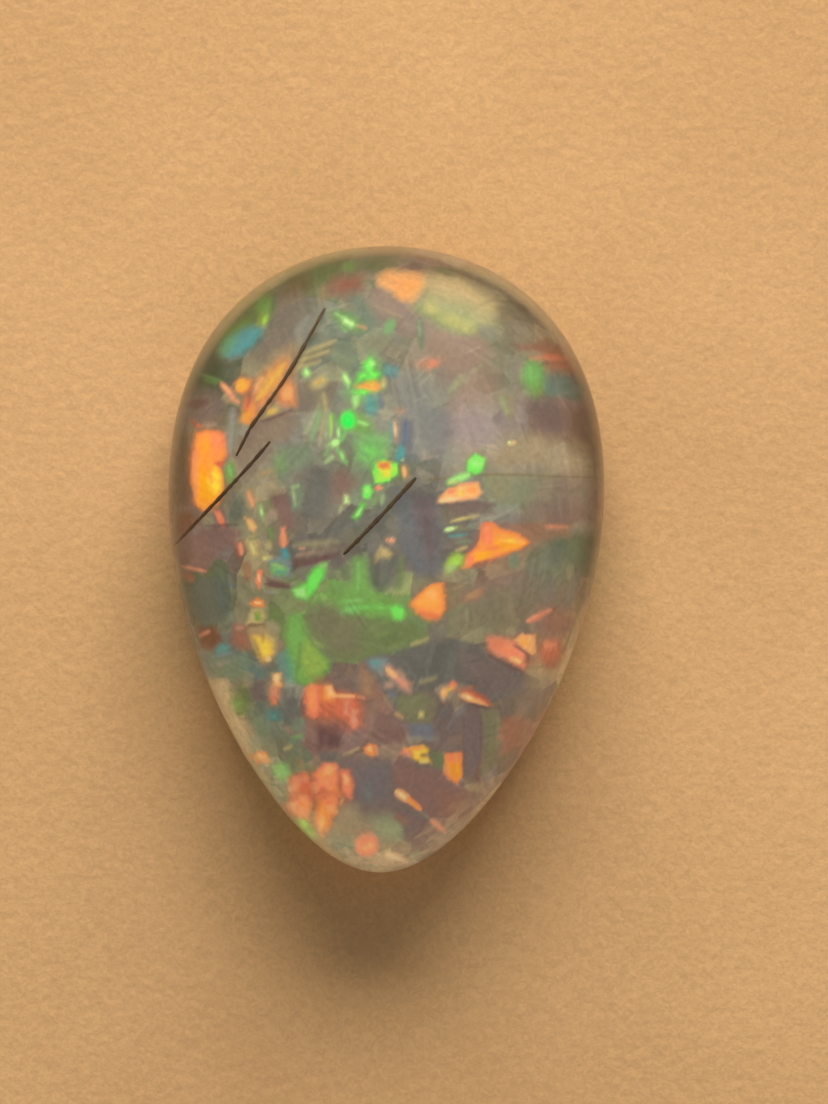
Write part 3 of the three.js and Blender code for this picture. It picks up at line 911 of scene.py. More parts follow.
def paint_top(p):
    p.spot("leaf", -0.9, 4.95, 0.7, 0.34, -25, 0.9, 0.9)
    p.patch("mint", [(-1.15, 5.12), (-0.95, 5.02), (-0.75, 4.95), (-0.68, 4.85), (-0.8, 4.78),
            (-1.0, 4.9)], 0.04)
    p.streak("ice", (-0.95, 4.96), (-0.75, 4.86), 0.07, 0.03)
    p.streak("fern", (-1.02, 4.82), (-0.88, 4.7), 0.06, 0.03, 0.8)
    p.streak("salmon", (-0.7, 4.86), (-0.45, 4.78), 0.06, 0.03, 0.7)
    p.spot("moss", -1.35, 5.95, 0.5, 0.3, -10, 0.9, 0.8)
    p.spot("leaf", -0.87, 6.08, 0.26, 0.24, 20, 0.9, 0.8)
    p.patch("rosewood", [(-1.25, 5.82), (-0.65, 5.85), (-0.6, 5.6), (-0.9, 5.45), (-1.3, 5.5)], 0.12, 0.6)
    p.spot("brick", -0.88, 5.68, 0.4, 0.16, 15, 1.0, 0.7)
    p.spot("tan", -1.4, 5.45, 0.2, 0.36, 0, 1.0, 0.5)
    p.patch("peach", [(-0.3, 5.85), (-0.1, 6.0), (0.3, 6.02), (0.75, 5.92), (0.8, 5.7), (0.42, 5.33),
            (0.22, 5.42), (-0.25, 5.7)], 0.08)
    p.patch("orange", [(-0.15, 5.9), (0.66, 5.9), (0.62, 5.5), (0.4, 5.34), (0.1, 5.52)], 0.12, 0.35)
    p.spot("amber", 0.35, 5.58, 0.5, 0.34, 10, 1.2, 0.35)
    # The pale khaki area at the upper right is partly a flash and partly a painted reflection of soft
    # light on the dome
    p.patch("bright khaki", [(0.72, 6.0), (1.35, 5.95), (1.8, 5.7), (2.2, 5.35), (2.2, 5.05),
            (2.0, 4.9), (1.75, 4.82), (1.4, 4.85), (1.0, 5.1), (0.65, 5.25), (0.7, 5.6)], 0.14, 0.9)
    p.spot("pale peach", 1.35, 5.62, 0.9, 0.4, -15, 1.0, 0.35)
    p.spot("pale green", 1.35, 5.12, 1.5, 0.6, -20, 1.2, 0.45)
    p.patch("yellow green", [(0.48, 5.24), (0.8, 5.38), (1.1, 5.16), (1.5, 5.04), (1.8, 4.9),
            (1.56, 4.72), (1.3, 4.78), (1.0, 4.94), (0.66, 5.1)], 0.14, 0.6)
    p.spot("straw", 0.86, 5.24, 0.3, 0.24, -15, 1.2, 0.8)
    p.spot("straw", 1.4, 4.95, 0.7, 0.24, -25, 1.2, 0.55)
    p.spot("grey", 2.05, 4.75, 0.5, 0.24, -30, 1.0, 0.6)
    p.spot("moss", 1.15, 6.0, 0.5, 0.14, -12, 1.0, 0.6)
    # Dark streaks along the top and upper right rim: painted shade, the thin dark line just inside the
    # clear edge
    p.streak("brown", (-1.6, 6.1), (-0.4, 6.34), 0.06, 0.04, 0.6)
    p.streak("dark mauve", (-0.5, 6.33), (0.4, 6.34), 0.07, 0.04, 0.9)
    p.streak("russet", (0.3, 6.35), (1.05, 6.22), 0.08, 0.04, 0.9)
    p.streak("brown", (0.95, 6.22), (2.3, 5.62), 0.08, 0.05, 0.8)
    p.streak("brown", (2.25, 5.64), (3.1, 4.95), 0.08, 0.05, 0.6)
    p.patch("rose", [(-0.5, 5.6), (0.0, 5.5), (0.35, 5.2), (0.3, 4.9), (-0.3, 5.1)], 0.14, 0.7)
    p.spot("fern", 0, 4.85, 0.22, 0.34, -25, 0.9, 0.7)
    p.streak("grey green", (0.62, 5.05), (0.68, 4.35), 0.14, 0.05, 0.9)
    p.streak("pale green", (0.6, 5.0), (0.64, 4.6), 0.05, 0.03, 0.5)
    p.spot("salmon", 0.82, 4.08, 0.4, 0.22, 10, 1.4, 0.6)
    p.spot("coral", 0.92, 4.07, 0.16, 0.14, 10, 1.4, 0.5)
    p.patch("pale green", [(1.3, 3.52), (1.5, 3.6), (1.68, 3.82), (1.5, 3.84), (1.32, 3.66)], 0.08, 0.8)
    p.streak("pale green", (1.65, 3.85), (1.95, 4.1), 0.06, 0.04, 0.4)
    p.streak("khaki", (-0.35, 5.28), (0.3, 5.02), 0.05, 0.03, 0.4)


def paint_green_trail(p):
    p.patch("fern", [(-0.35, 4.3), (-0.1, 4.0), (-0.1, 3.6), (-0.3, 3.3), (-0.7, 3.2), (-0.95, 3.45),
            (-0.7, 3.75)], 0.12, 0.6)
    p.patch("spring green", [(-0.55, 4.08), (-0.4, 4.22), (-0.3, 4.1), (-0.3, 3.95), (-0.18, 3.85),
            (-0.24, 3.66), (-0.4, 3.6), (-0.5, 3.74), (-0.68, 3.66), (-0.62, 3.86), (-0.48, 3.92)], 0.06)
    p.spot("green", -0.42, 3.86, 0.12, 0.14, 0, 0.9, 0.7)
    p.spot("ice", -0.36, 4.08, 0.12, 0.12, 0, 0.9, 0.5)
    p.patch("gold", [(-0.7, 3.62), (-0.5, 3.68), (-0.28, 3.72), (-0.16, 3.55), (-0.3, 3.42),
            (-0.52, 3.48)], 0.05, 0.9)
    p.spot("orange", -0.46, 3.57, 0.22, 0.1, -10, 0.9, 0.8)
    p.spot("orange", -0.24, 3.58, 0.14, 0.18, 0, 0.9, 0.7)
    p.patch("spring green", [(-0.75, 3.5), (-0.55, 3.52), (-0.38, 3.46), (-0.5, 3.38),
            (-0.62, 3.4)], 0.04, 0.9)
    p.patch("mint", [(-0.74, 3.42), (-0.6, 3.4), (-0.62, 3.2), (-0.7, 3.12), (-0.76, 3.28)], 0.04, 0.9)
    p.patch("mint", [(-0.98, 3.87), (-0.87, 3.85), (-0.76, 3.65), (-0.82, 3.55), (-0.95, 3.72)], 0.035)
    p.streak("ice", (-0.93, 3.82), (-0.84, 3.66), 0.05, 0.02, 0.7)
    p.spot("khaki", -0.1, 3.66, 0.14, 0.26, -10, 0.8, 0.9)
    p.streak("straw", (-0.12, 3.74), (-0.1, 3.58), 0.05, 0.03, 0.7)
    p.patch("sky", [(-0.1, 4.05), (0.2, 4.0), (0.18, 3.8), (0.0, 3.74), (-0.12, 3.85)], 0.06, 0.7)
    p.patch("slate blue", [(0.0, 3.75), (0.6, 3.8), (0.85, 3.4), (0.7, 2.9), (0.3, 2.95),
            (0.1, 3.3)], 0.14, 0.3)
    p.spot("teal", -0.35, 3.2, 0.3, 0.44, -10, 0.9, 0.8)
    p.streak("sky", (-0.42, 3.35), (-0.32, 3.05), 0.07, 0.03, 0.7)
    p.streak("deep blue", (-0.2, 3.45), (-0.1, 3.1), 0.06, 0.04, 0.6)
    p.spot("leaf", -0.6, 2.8, 0.6, 0.4, -20, 0.9, 0.9)
    p.streak("mint", (-0.65, 2.86), (-0.4, 2.78), 0.07, 0.03, 0.7)
    p.spot("green", -0.82, 2.87, 0.36, 0.44, 0, 0.7, 0.9)
    p.spot("emerald", -0.82, 2.87, 0.24, 0.3, 0, 0.9)
    p.spot("spring green", -0.82, 2.9, 0.1, 0.12, 0, 0.9, 0.3)
    p.streak("fern", (-0.85, 2.68), (-0.98, 2.4), 0.07)
    p.patch("pale green", [(-1.3, 2.35), (-1.15, 2.5), (-0.98, 2.42), (-1.0, 2.28),
            (-1.18, 2.22)], 0.05, 0.8)
    p.spot("mint", -1.1, 2.38, 0.18, 0.13, 20, 0.7)
    p.spot("ice", -1.1, 2.39, 0.08, 0.06, 20, 0.9, 0.8)
    p.streak("mint", (-1.04, 2.72), (-1.0, 2.5), 0.06)
    p.streak("fern", (-1.05, 2.3), (-0.82, 1.95), 0.09)
    p.streak("mint", (-0.98, 2.2), (-0.9, 2.06), 0.05, 0.02, 0.8)
    p.streak("pale green", (-1.3, 1.97), (-1.1, 2.14), 0.1)
    p.streak("fern", (-1.2, 2.3), (-1.32, 2.1), 0.05, 0.03, 0.7)
    p.patch("fern", [(-0.7, 2.5), (-0.3, 2.62), (0, 2.6), (0.05, 2.3), (-0.1, 2.0), (-0.3, 1.85),
            (-0.65, 2.05)], 0.09, 0.65)
    p.patch("green", [(-0.6, 2.3), (-0.3, 2.42), (-0.08, 2.25), (-0.3, 2.02), (-0.5, 2.05)], 0.08, 0.6)
    p.streak("teal grey", (-0.62, 2.28), (-0.35, 2.08), 0.05, 0.03, 0.6)
    p.streak("pale green", (-0.1, 2.35), (0.02, 2.1), 0.06, 0.03, 0.7)


def paint_gem(p):
    """The brightest small domain, above the third needle's end."""
    gem = [(-0.28, 1.95), (-0.1, 2.08), (0.1, 2.0), (0.22, 2.0), (0.25, 1.75), (0.1, 1.66), (-0.1, 1.55),
           (-0.25, 1.58), (-0.3, 1.8)]
    p.patch("moss", gem, 0.12, 0.7)
    p.patch("spring green", gem, 0.04)
    p.patch("yellow", [(-0.2, 1.9), (0.08, 1.92), (0.1, 1.72), (-0.1, 1.7)], 0.06, 0.8)
    p.patch("lime", [(-0.28, 1.78), (-0.1, 1.75), (-0.02, 1.62), (-0.2, 1.58)], 0.04)
    p.patch("orange", [(-0.2, 2.02), (0.06, 2.02), (0.05, 1.88), (-0.1, 1.86), (-0.22, 1.92)], 0.04)
    p.spot("red", -0.08, 1.93, 0.16, 0.08, 10, 0.9, 0.8)
    p.spot("lime", 0.17, 1.86, 0.1, 0.2, 0, 0.9, 0.8)
    p.spot("salmon", -0.14, 1.46, 0.16, 0.1, 0, 0.8)
    p.spot("red", -0.2, 1.45, 0.08, 0.06, 0, 0.9, 0.7)
    p.patch("tan", [(0.28, 1.95), (0.44, 1.98), (0.48, 1.7), (0.36, 1.62), (0.28, 1.7)], 0.05, 0.9)
    p.streak("peach", (0.34, 1.94), (0.38, 1.72), 0.08, 0.03)
    p.streak("moss", (0.26, 1.95), (0.3, 1.6), 0.04)
    p.patch("slate blue", [(0.26, 2.9), (0.5, 2.9), (0.66, 2.1), (0.4, 2.0), (0.2, 2.1)], 0.1, 0.7)
    p.spot("teal", 0.27, 2.2, 0.2, 0.36, -15, 0.8)
    p.streak("sky", (0.27, 2.4), (0.33, 2.1), 0.07, 0.03)
    p.spot("ice", 0.34, 2.07, 0.08, 0.08, 0, 0.9, 0.6)
    p.streak("deep blue", (0.38, 2.95), (0.34, 2.35), 0.08, 0.04, 0.8)
    p.streak("slate blue", (0.48, 2.9), (0.46, 2.3), 0.1, 0.04, 0.7)
    p.streak("rose", (0.15, 2.95), (0.18, 2.4), 0.12, 0.04)
    p.streak("pale peach", (0.14, 2.85), (0.17, 2.55), 0.05, 0.03, 0.7)
    p.streak("teal", (0.04, 2.9), (0.08, 2.4), 0.07, 0.04, 0.7)
    p.spot("rose", 0.25, 3.1, 0.22, 0.18, 0, 0.9)
    p.patch("spring green", [(-0.48, 1.5), (-0.34, 1.52), (-0.26, 1.38), (-0.36, 1.22),
            (-0.47, 1.25)], 0.04)
    p.spot("ice", -0.38, 1.4, 0.08, 0.1, 0, 0.9, 0.5)
    p.patch("green", [(-0.5, 1.17), (-0.4, 1.12), (-0.5, 0.92), (-0.62, 0.78), (-0.72, 0.83),
            (-0.62, 1.0)], 0.045)
    p.streak("mint", (-0.5, 1.06), (-0.62, 0.88), 0.06, 0.03, 0.8)
    p.patch("ice", [(-0.86, 1.33), (-0.78, 1.3), (-0.78, 1.14), (-0.86, 1.13)], 0.04, 0.9)
    p.streak("pale green", (-0.92, 1.1), (-0.98, 0.95), 0.06, 0.03, 0.7)
    p.streak("pale green", (-0.06, 1.36), (-0.1, 1.14), 0.09, 0.04, 0.8)
    p.streak("leaf", (-0.2, 1.3), (-0.28, 1.1), 0.08, 0.04, 0.7)


def paint_upper_right(p):
    p.patch("grey green", [(2.1, 4.7), (2.6, 4.75), (2.8, 4.2), (2.7, 3.4), (2.3, 3.3)], 0.2, 0.4)
    p.patch("rose", [(1.3, 4.0), (2.2, 3.9), (2.4, 3.4), (2.0, 3.1), (1.4, 3.2)], 0.2, 0.6)
    p.patch("rosewood", [(2.5, 4.5), (3.3, 4.62), (3.75, 4.45), (4.0, 4.0), (3.5, 4.02),
            (3.25, 4.22)], 0.09, 0.7)
    p.spot("leaf", 3.03, 3.8, 0.52, 0.72, 8, 0.8, 0.85)
    p.spot("fern", 2.98, 3.92, 0.4, 0.4, 10, 1.0, 0.7)
    p.streak("khaki grey", (2.6, 4.34), (3.3, 4.34), 0.09, 0.05)
    p.patch("brick", [(3.2, 4.36), (3.6, 4.45), (3.85, 4.22), (3.95, 4.0), (3.65, 3.92),
            (3.4, 4.1)], 0.1, 0.8)
    p.streak("salmon", (2.9, 4.24), (3.7, 4.26), 0.07, 0.07, 0.6)
    p.streak("red", (3.2, 4.3), (3.75, 4.22), 0.08, 0.05, 0.7)
    p.patch("teal grey", [(3.25, 3.9), (3.7, 3.95), (4.1, 3.75), (4.15, 3.45), (3.3, 3.45)], 0.12, 0.8)
    p.patch("dark mauve", [(3.0, 3.35), (4.2, 3.3), (4.3, 2.7), (3.4, 2.6), (2.95, 2.9)], 0.2, 0.42)
    p.patch("khaki grey", [(2.28, 3.5), (2.52, 3.47), (2.64, 3.1), (2.52, 2.92), (2.38, 3.2)], 0.08)
    p.streak("pale green", (2.34, 3.45), (2.48, 3.05), 0.09, 0.05, 0.5)
    p.streak("bright khaki", (2.5, 2.43), (2.68, 2.5), 0.09)
    p.spot("ice", 2.52, 2.46, 0.06, 0.05, 0, 0.9, 0.6)
    p.patch("leaf", [(1.62, 1.95), (1.7, 2.2), (1.95, 2.22), (2.05, 1.98), (1.9, 1.8),
            (1.7, 1.82)], 0.07, 0.6)
    p.patch("spring green", [(1.68, 1.86), (1.7, 2.08), (1.84, 2.24), (2.02, 2.14), (1.96, 1.86),
            (1.82, 1.78)], 0.035, 0.9)
    p.patch("mint", [(1.76, 2.08), (1.9, 2.14), (1.96, 2.0), (1.86, 1.94)], 0.07, 0.7)
    p.streak("fern", (1.22, 1.58), (1.8, 1.84), 0.2, 0.05, 0.8)
    p.streak("mint", (1.28, 1.62), (1.72, 1.8), 0.1, 0.06, 0.9)
    p.streak("straw", (1.25, 1.6), (1.5, 1.66), 0.05, 0.03, 0.8)
    bar = [(1.03, 1.18), (1.08, 1.3), (1.3, 1.5), (1.6, 1.6), (1.92, 1.64), (1.98, 1.45), (1.87, 1.3),
        (1.4, 1.22)]
    p.patch("peach", bar, 0.045)
    p.streak("pale peach", (1.08, 1.22), (1.5, 1.3), 0.09, 0.03, 0.9)
    p.spot("coral", 1.36, 1.44, 0.16, 0.1, 20, 0.8)
    p.spot("gold", 1.56, 1.42, 0.16, 0.14, 0, 0.8, 0.7)
    p.spot("orange", 1.8, 1.48, 0.22, 0.2, 0, 0.9, 0.8)
    p.streak("salmon", (1.45, 1.58), (1.9, 1.63), 0.05, 0.03, 0.8)
    p.streak("dark mauve", (1.1, 1.12), (1.95, 1.24), 0.08, 0.04, 0.7)
    p.spot("lilac", 1.85, 2.75, 0.75, 0.62, -15, 0.6, 0.8)
    p.spot("grey", 1.35, 2.2, 0.5, 0.4, 20, 0.9, 0.7)
    p.patch("slate blue", [(0.75, 3.2), (1.25, 3.1), (1.4, 2.6), (1.15, 2.2), (0.75, 2.3),
            (0.6, 2.7)], 0.1, 0.5)


def paint_seam(p):
    """The healed seam: a thin dark line, paler above than below. The paler area above is partly a painted
    reflection of soft light on the dome.
    """
    p.patch("warm khaki", [(2.1, 1.86), (4.35, 1.82), (4.35, 2.2), (3.4, 2.6), (2.6, 2.7),
            (2.1, 2.3)], 0.22, 0.7)
    p.patch("grey green", [(2.05, 1.78), (3.2, 1.76), (3.1, 1.4), (2.8, 1.1), (2.1, 1.1)], 0.12, 0.6)
    p.patch("khaki grey", [(2.15, 1.7), (2.6, 1.72), (2.5, 1.3), (2.25, 1.3)], 0.1, 0.6)
    p.patch("stone brown", [(3.1, 1.78), (4.3, 1.76), (4.25, 1.0), (3.4, 0.9), (3.0, 1.3)], 0.2, 0.6)
    points = [(0.72, 1.64), (1.3, 1.74), (2.0, 1.8), (2.6, 1.81), (3.4, 1.79), (4.35, 1.78)]
    for start, end in zip(points, points[1:]):
        p.streak("olive brown", start, (end[0] + 0.1, end[1]), 0.035, 0.025, 0.8)


def paint_right(p):
    p.patch("slate blue", [(0.15, 1.45), (1.0, 1.3), (1.15, 0.9), (1.15, -0.2), (0.75, -0.35),
            (0.3, 0.2)], 0.1, 0.6)
    p.patch("dark mauve", [(0.5, 1.4), (1.0, 1.3), (1.1, 0.3), (0.95, -0.2), (0.8, 0.2)], 0.12, 0.45)
    p.streak("pale green", (1.2, 0.61), (1.5, 0.7), 0.09)
    p.streak("ice", (1.24, 0.63), (1.42, 0.68), 0.05)
    p.streak("teal", (1.3, 0.5), (1.72, 0.56), 0.07)
    p.streak("grey green", (1.45, 0.6), (1.95, 0.72), 0.05)
    p.streak("khaki", (1.32, 0.8), (1.95, 0.96), 0.055)
    p.streak("straw", (1.4, 0.83), (1.7, 0.9), 0.035, 0.02, 0.7)
    p.streak("slate", (1.3, 0.73), (1.95, 0.85), 0.05)
    p.streak("slate", (1.3, 0.56), (1.9, 0.64), 0.045)
    p.streak("grey green", (1.4, 0.36), (1.8, 0.42), 0.07)
    p.streak("khaki", (1.45, 0.2), (1.72, 0.3), 0.06)
    p.streak("slate mauve", (1.25, 1.08), (2.3, 1.18), 0.14, 0.05)
    p.patch("rosewood", [(2.3, 0.78), (3.3, 0.76), (3.85, 0.76), (3.8, 0.56), (3.3, 0.4), (2.9, 0.24),
            (2.8, 0.5)], 0.1, 0.75)
    p.streak("rosewood", (2.5, 0.72), (3.75, 0.8), 0.1, 0.06, 0.7)
    p.streak("salmon", (3.3, 0.74), (3.8, 0.74), 0.08, 0.05, 0.6)
    flash = [(1.95, 0.5), (1.98, 0.72), (2.08, 0.82), (2.22, 0.78), (2.4, 0.66), (2.65, 0.6),
        (2.88, 0.52), (3.0, 0.4), (2.8, 0.26), (2.5, 0.13), (2.2, 0.03), (1.95, -0.04), (1.62, -0.18),
        (1.6, -0.02), (1.7, 0.14), (1.9, 0.28)]
    p.patch("brick", flash, 0.1, 0.5)
    p.patch("orange", flash, 0.045)
    p.patch("coral", [(1.98, 0.5), (2.0, 0.74), (2.12, 0.8), (2.22, 0.7), (2.2, 0.4),
            (2.05, 0.35)], 0.05, 0.9)
    p.patch("amber", [(2.25, 0.48), (2.6, 0.52), (2.92, 0.4), (2.7, 0.26), (2.35, 0.2)], 0.08, 0.75)
    p.streak("peach", (2.35, 0.46), (2.9, 0.42), 0.1, 0.05, 0.4)
    p.spot("yellow", 2.6, 0.42, 0.24, 0.08, 0, 0.9, 0.5)
    p.spot("amber", 2.0, 0.1, 0.44, 0.18, 20, 0.8, 0.8)
    p.patch("coral", [(1.62, -0.15), (1.62, 0.0), (1.75, 0.12), (1.85, 0.08), (1.8, -0.08)], 0.045)
    p.streak("red", (2.05, 0.24), (2.4, 0.3), 0.06, 0.04, 0.7)
    p.streak("brick", (1.75, -0.16), (2.3, 0.02), 0.05, 0.03, 0.7)
    p.patch("yellow green", [(1.22, -0.1), (1.32, 0.1), (1.5, 0.2), (1.66, 0.12), (1.64, -0.12),
            (1.3, -0.3)], 0.05)
    p.spot("lime", 1.45, 0.0, 0.3, 0.2, 30, 1.2, 0.35)
    p.spot("pale green", 1.36, -0.16, 0.22, 0.18, 20, 0.9, 0.6)
    p.spot("grey green", 3.5, 0.0, 0.9, 0.9, 0, 1.2, 0.5)
    p.spot("slate green", 3.6, 0.2, 0.44, 0.5, 0, 0.9, 0.5)
    p.spot("grey green", 2.7, 0, 0.24, 0.34, 0, 0.9, 0.9)
    p.streak("salmon", (0.0, 0.4), (0.22, 0.38), 0.08)
    p.streak("pale peach", (0.08, 0.42), (0.18, 0.4), 0.04, 0.02, 0.7)
    p.patch("khaki", [(-0.22, -0.08), (-0.2, 0.1), (-0.1, 0.3), (0.05, 0.2), (0.15, 0.1), (0.1, 0),
            (-0.1, 0)], 0.05)
    p.streak("tan", (-0.15, 0.02), (-0.08, 0.22), 0.06, 0.03, 0.8)
    p.patch("stone brown", [(1.7, -0.3), (2.4, -0.3), (2.5, -0.9), (2.0, -1.2), (1.6, -0.6)], 0.18, 0.6)
    p.patch("moss grey", [(2.3, -0.6), (3.3, -0.5), (3.2, -1.1), (2.8, -1.4), (2.2, -1.2)], 0.18, 0.6)
    p.patch("brick", [(1.6, -0.85), (1.8, -0.65), (2.05, -0.55), (2.05, -0.68), (1.85, -0.82)], 0.07, 0.7)
    p.spot("tan", 1.85, -0.7, 0.34, 0.14, 30, 0.9, 0.7)
    outline = [(1.2, -0.48), (0.95, -0.53), (0.62, -0.83), (0.55, -0.95), (0.72, -1.12), (0.92, -1.25),
        (1.15, -1.2), (1.27, -1.0), (1.25, -0.75)]
    p.patch("brick", outline, 0.14, 0.6)
    p.patch("orange", outline, 0.05)
    p.patch("gold", [(1.15, -0.55), (0.95, -0.6), (0.68, -0.88), (0.95, -0.98), (1.15, -0.9)], 0.1, 0.3)
    p.spot("peach", 1.0, -0.72, 0.2, 0.2, 40, 0.9, 0.5)
    p.streak("red", (0.7, -1.08), (1.15, -1.18), 0.12, 0.05, 0.8)
    p.streak("salmon", (2.95, -1.25), (3.5, -0.97), 0.12, 0.04)
    p.streak("red", (3.0, -1.26), (3.3, -1.12), 0.05, 0.03, 0.6)
    p.patch("rosewood", [(3.2, -0.95), (3.8, -0.9), (4.0, -1.3), (3.6, -1.5), (3.3, -1.35)], 0.14, 0.5)


def paint_wedge(p):
    """Red and yellow wedge at the right, split by a dark line, and its neighbour."""
    p.patch("brick", [(2.1, -1.55), (2.7, -1.55), (3.2, -1.5), (3.1, -2.1), (2.95, -2.3), (2.5, -2.1),
            (2.15, -1.9)], 0.08, 0.6)
    p.patch("salmon", [(2.18, -1.62), (2.4, -1.58), (2.68, -1.66), (2.95, -1.86), (2.92, -2.2),
            (2.35, -1.93), (2.2, -1.82)], 0.08)
    p.patch("red", [(2.2, -1.64), (2.45, -1.62), (2.6, -1.72), (2.45, -1.88), (2.25, -1.8)], 0.08, 0.6)
    p.patch("coral", [(2.4, -1.78), (2.7, -1.76), (2.9, -1.95), (2.88, -2.12), (2.6, -1.98)], 0.09, 0.9)
    p.streak("peach", (2.62, -1.98), (2.88, -2.1), 0.1, 0.04)
    p.patch("peach", [(2.72, -1.64), (2.88, -1.5), (3.12, -1.5), (3.17, -1.92), (3.04, -1.88)], 0.035)
    p.patch("amber", [(2.82, -1.62), (3.0, -1.55), (3.05, -1.75), (2.95, -1.76)], 0.05, 0.6)
    p.streak("dark mauve", (2.68, -1.72), (3.04, -1.94), 0.05, 0.03, 0.8)
    p.streak("dark mauve", (2.15, -1.93), (2.5, -2.12), 0.06, 0.03, 0.8)
    p.streak("dark mauve", (2.48, -2.12), (2.92, -2.3), 0.06, 0.03, 0.8)
    p.patch("rosewood", [(3.25, -1.75), (3.42, -1.58), (3.68, -1.62), (3.78, -1.9), (3.65, -2.2),
            (3.4, -2.25), (3.25, -1.95)], 0.08)
    p.spot("red", 3.48, -1.85, 0.42, 0.44, 0, 1.3, 0.55)
    p.streak("salmon", (3.32, -1.74), (3.62, -1.7), 0.16, 0.08, 0.5)
    p.patch("khaki grey", [(3.0, -2.2), (3.4, -2.25), (3.6, -2.4), (3.3, -2.75), (3.0, -2.6)], 0.12, 0.6)
    p.patch("stone brown", [(2.7, -2.7), (3.2, -2.6), (3.7, -2.3), (3.5, -2.9), (3.1, -3.3),
            (2.6, -3.1)], 0.16, 0.7)


def paint_centre(p):
    p.patch("green", [(-1.18, -0.08), (-1.25, -0.4), (-1.45, -0.75), (-1.6, -0.92), (-1.85, -0.82),
            (-1.92, -0.65), (-1.65, -0.48), (-1.5, -0.22), (-1.32, -0.1)], 0.045)
    p.patch("spring green", [(-1.3, -0.25), (-1.4, -0.6), (-1.58, -0.75), (-1.6, -0.5),
            (-1.45, -0.28)], 0.05, 0.8)
    p.patch("mint", [(-1.65, -0.6), (-1.62, -0.85), (-1.8, -0.8), (-1.88, -0.66)], 0.04, 0.8)
    p.streak("pale green", (-1.2, -0.12), (-1.35, -0.2), 0.06, 0.03, 0.8)
    p.streak("moss", (-1.55, -0.2), (-1.72, -0.4), 0.05, 0.03, 0.6)
    p.patch("leaf", [(-0.65, 0.0), (-0.42, 0.0), (-0.3, -0.6), (0.1, -0.85), (-0.8, -0.85),
            (-0.7, -0.5)], 0.08, 0.8)
    p.streak("fern", (-0.55, -0.05), (-0.55, -0.7), 0.08, 0.04, 0.6)
    p.patch("slate", [(-0.3, -0.02), (0.3, -0.05), (0.4, -0.3), (0.3, -0.58), (-0.1, -0.6),
            (-0.3, -0.35)], 0.15, 0.8)
    p.streak("moss", (0.34, 0.1), (0.3, -0.65), 0.14, 0.06, 0.7)
    p.patch("leaf", [(-1.1, -0.85), (-0.6, -0.75), (-0.3, -0.8), (0.1, -0.85), (0.35, -0.9),
            (0.42, -1.1), (0.35, -1.25), (-0.5, -1.15), (-0.85, -1.2)], 0.07, 0.75)
    p.patch("fern", [(-0.95, -1.16), (-0.8, -1.0), (-0.5, -0.95), (-0.4, -1.05),
            (-0.7, -1.18)], 0.05, 0.9)
    p.patch("green", [(-0.6, -1.0), (-0.2, -0.9), (0.15, -0.98), (0.1, -1.1), (-0.4, -1.1)], 0.06, 0.5)
    p.streak("fern", (-0.9, -0.9), (-0.45, -0.85), 0.06, 0.03, 0.6)
    p.patch("green", [(0.1, -1.0), (0.25, -0.94), (0.42, -1.05), (0.38, -1.25), (0.18, -1.25)], 0.045)
    p.spot("spring green", 0.29, -1.1, 0.26, 0.2, -20, 1.4, 0.5)
    p.patch("olive", [(-1.4, -0.95), (-0.95, -1.2), (-0.3, -1.25), (0.45, -1.35), (0.9, -1.5),
            (0.92, -1.66), (0.55, -1.82), (0.1, -1.92), (-0.4, -2.05), (-1.0, -2.1),
            (-1.3, -1.7)], 0.06, 0.9)
    p.patch("moss grey", [(-1.75, -0.95), (-1.1, -0.9), (-0.85, -1.2), (-0.45, -1.3), (-0.5, -2.0),
            (-1.0, -2.0), (-1.45, -1.6)], 0.14, 0.8)
    p.patch("moss", [(0.0, -1.35), (0.6, -1.45), (0.75, -1.6), (0.3, -1.75), (-0.1, -1.7)], 0.1, 0.6)
    p.streak("khaki", (0.55, -1.78), (0.95, -1.62), 0.07, 0.04, 0.8)
    p.patch("blue grey", [(-0.35, -2.1), (-0.1, -2.0), (0.1, -2.05), (0.1, -2.25), (-0.05, -2.38),
            (-0.2, -2.3)], 0.05)
    p.streak("sky", (-0.28, -2.12), (-0.02, -2.2), 0.08, 0.04, 0.7)
    p.streak("lilac", (-0.1, -2.32), (0.02, -2.42), 0.07, 0.04, 0.7)
    p.patch("pink", [(0.0, -2.2), (0.14, -2.2), (0.35, -2.38), (0.6, -2.56), (0.58, -2.8),
            (0.42, -2.7), (0.16, -2.5)], 0.07)
    p.streak("peach", (0.05, -2.27), (0.3, -2.46), 0.1, 0.04, 0.8)
    p.streak("salmon", (0.28, -2.45), (0.52, -2.66), 0.09, 0.04, 0.7)
    p.patch("rosewood", [(-0.5, -2.15), (-0.38, -2.15), (-0.25, -2.4), (-0.1, -2.55), (-0.05, -2.9),
            (-0.5, -2.85), (-0.55, -2.5)], 0.06, 0.6)
    p.patch("tan", [(-0.45, -2.3), (-0.3, -2.45), (-0.2, -2.8), (-0.45, -2.8)], 0.08, 0.5)
    wedge = [(-2.0, -1.2), (-1.78, -1.15), (-1.65, -1.5), (-1.45, -1.8), (-1.15, -2.1), (-1.12, -2.3),
        (-1.3, -2.55), (-1.5, -2.68), (-1.85, -2.6), (-2.0, -2.3), (-2.05, -1.6)]
    p.patch("leaf", wedge, 0.06)
    p.patch("fern", [(-1.95, -1.25), (-1.8, -1.22), (-1.65, -1.6), (-1.75, -1.95),
            (-1.95, -1.8)], 0.1, 0.2)
    p.patch("yellow green", [(-1.62, -1.7), (-1.4, -1.9), (-1.18, -2.15), (-1.3, -2.4), (-1.6, -2.45),
            (-1.72, -2.1)], 0.08, 0.8)
    p.patch("teal", [(-2.25, -2.0), (-2.0, -1.9), (-1.85, -2.2), (-1.85, -2.6), (-2.1, -2.6),
            (-2.2, -2.4)], 0.08, 0.55)
    p.streak("moss", (-1.72, -1.75), (-1.8, -2.55), 0.07, 0.04, 0.6)


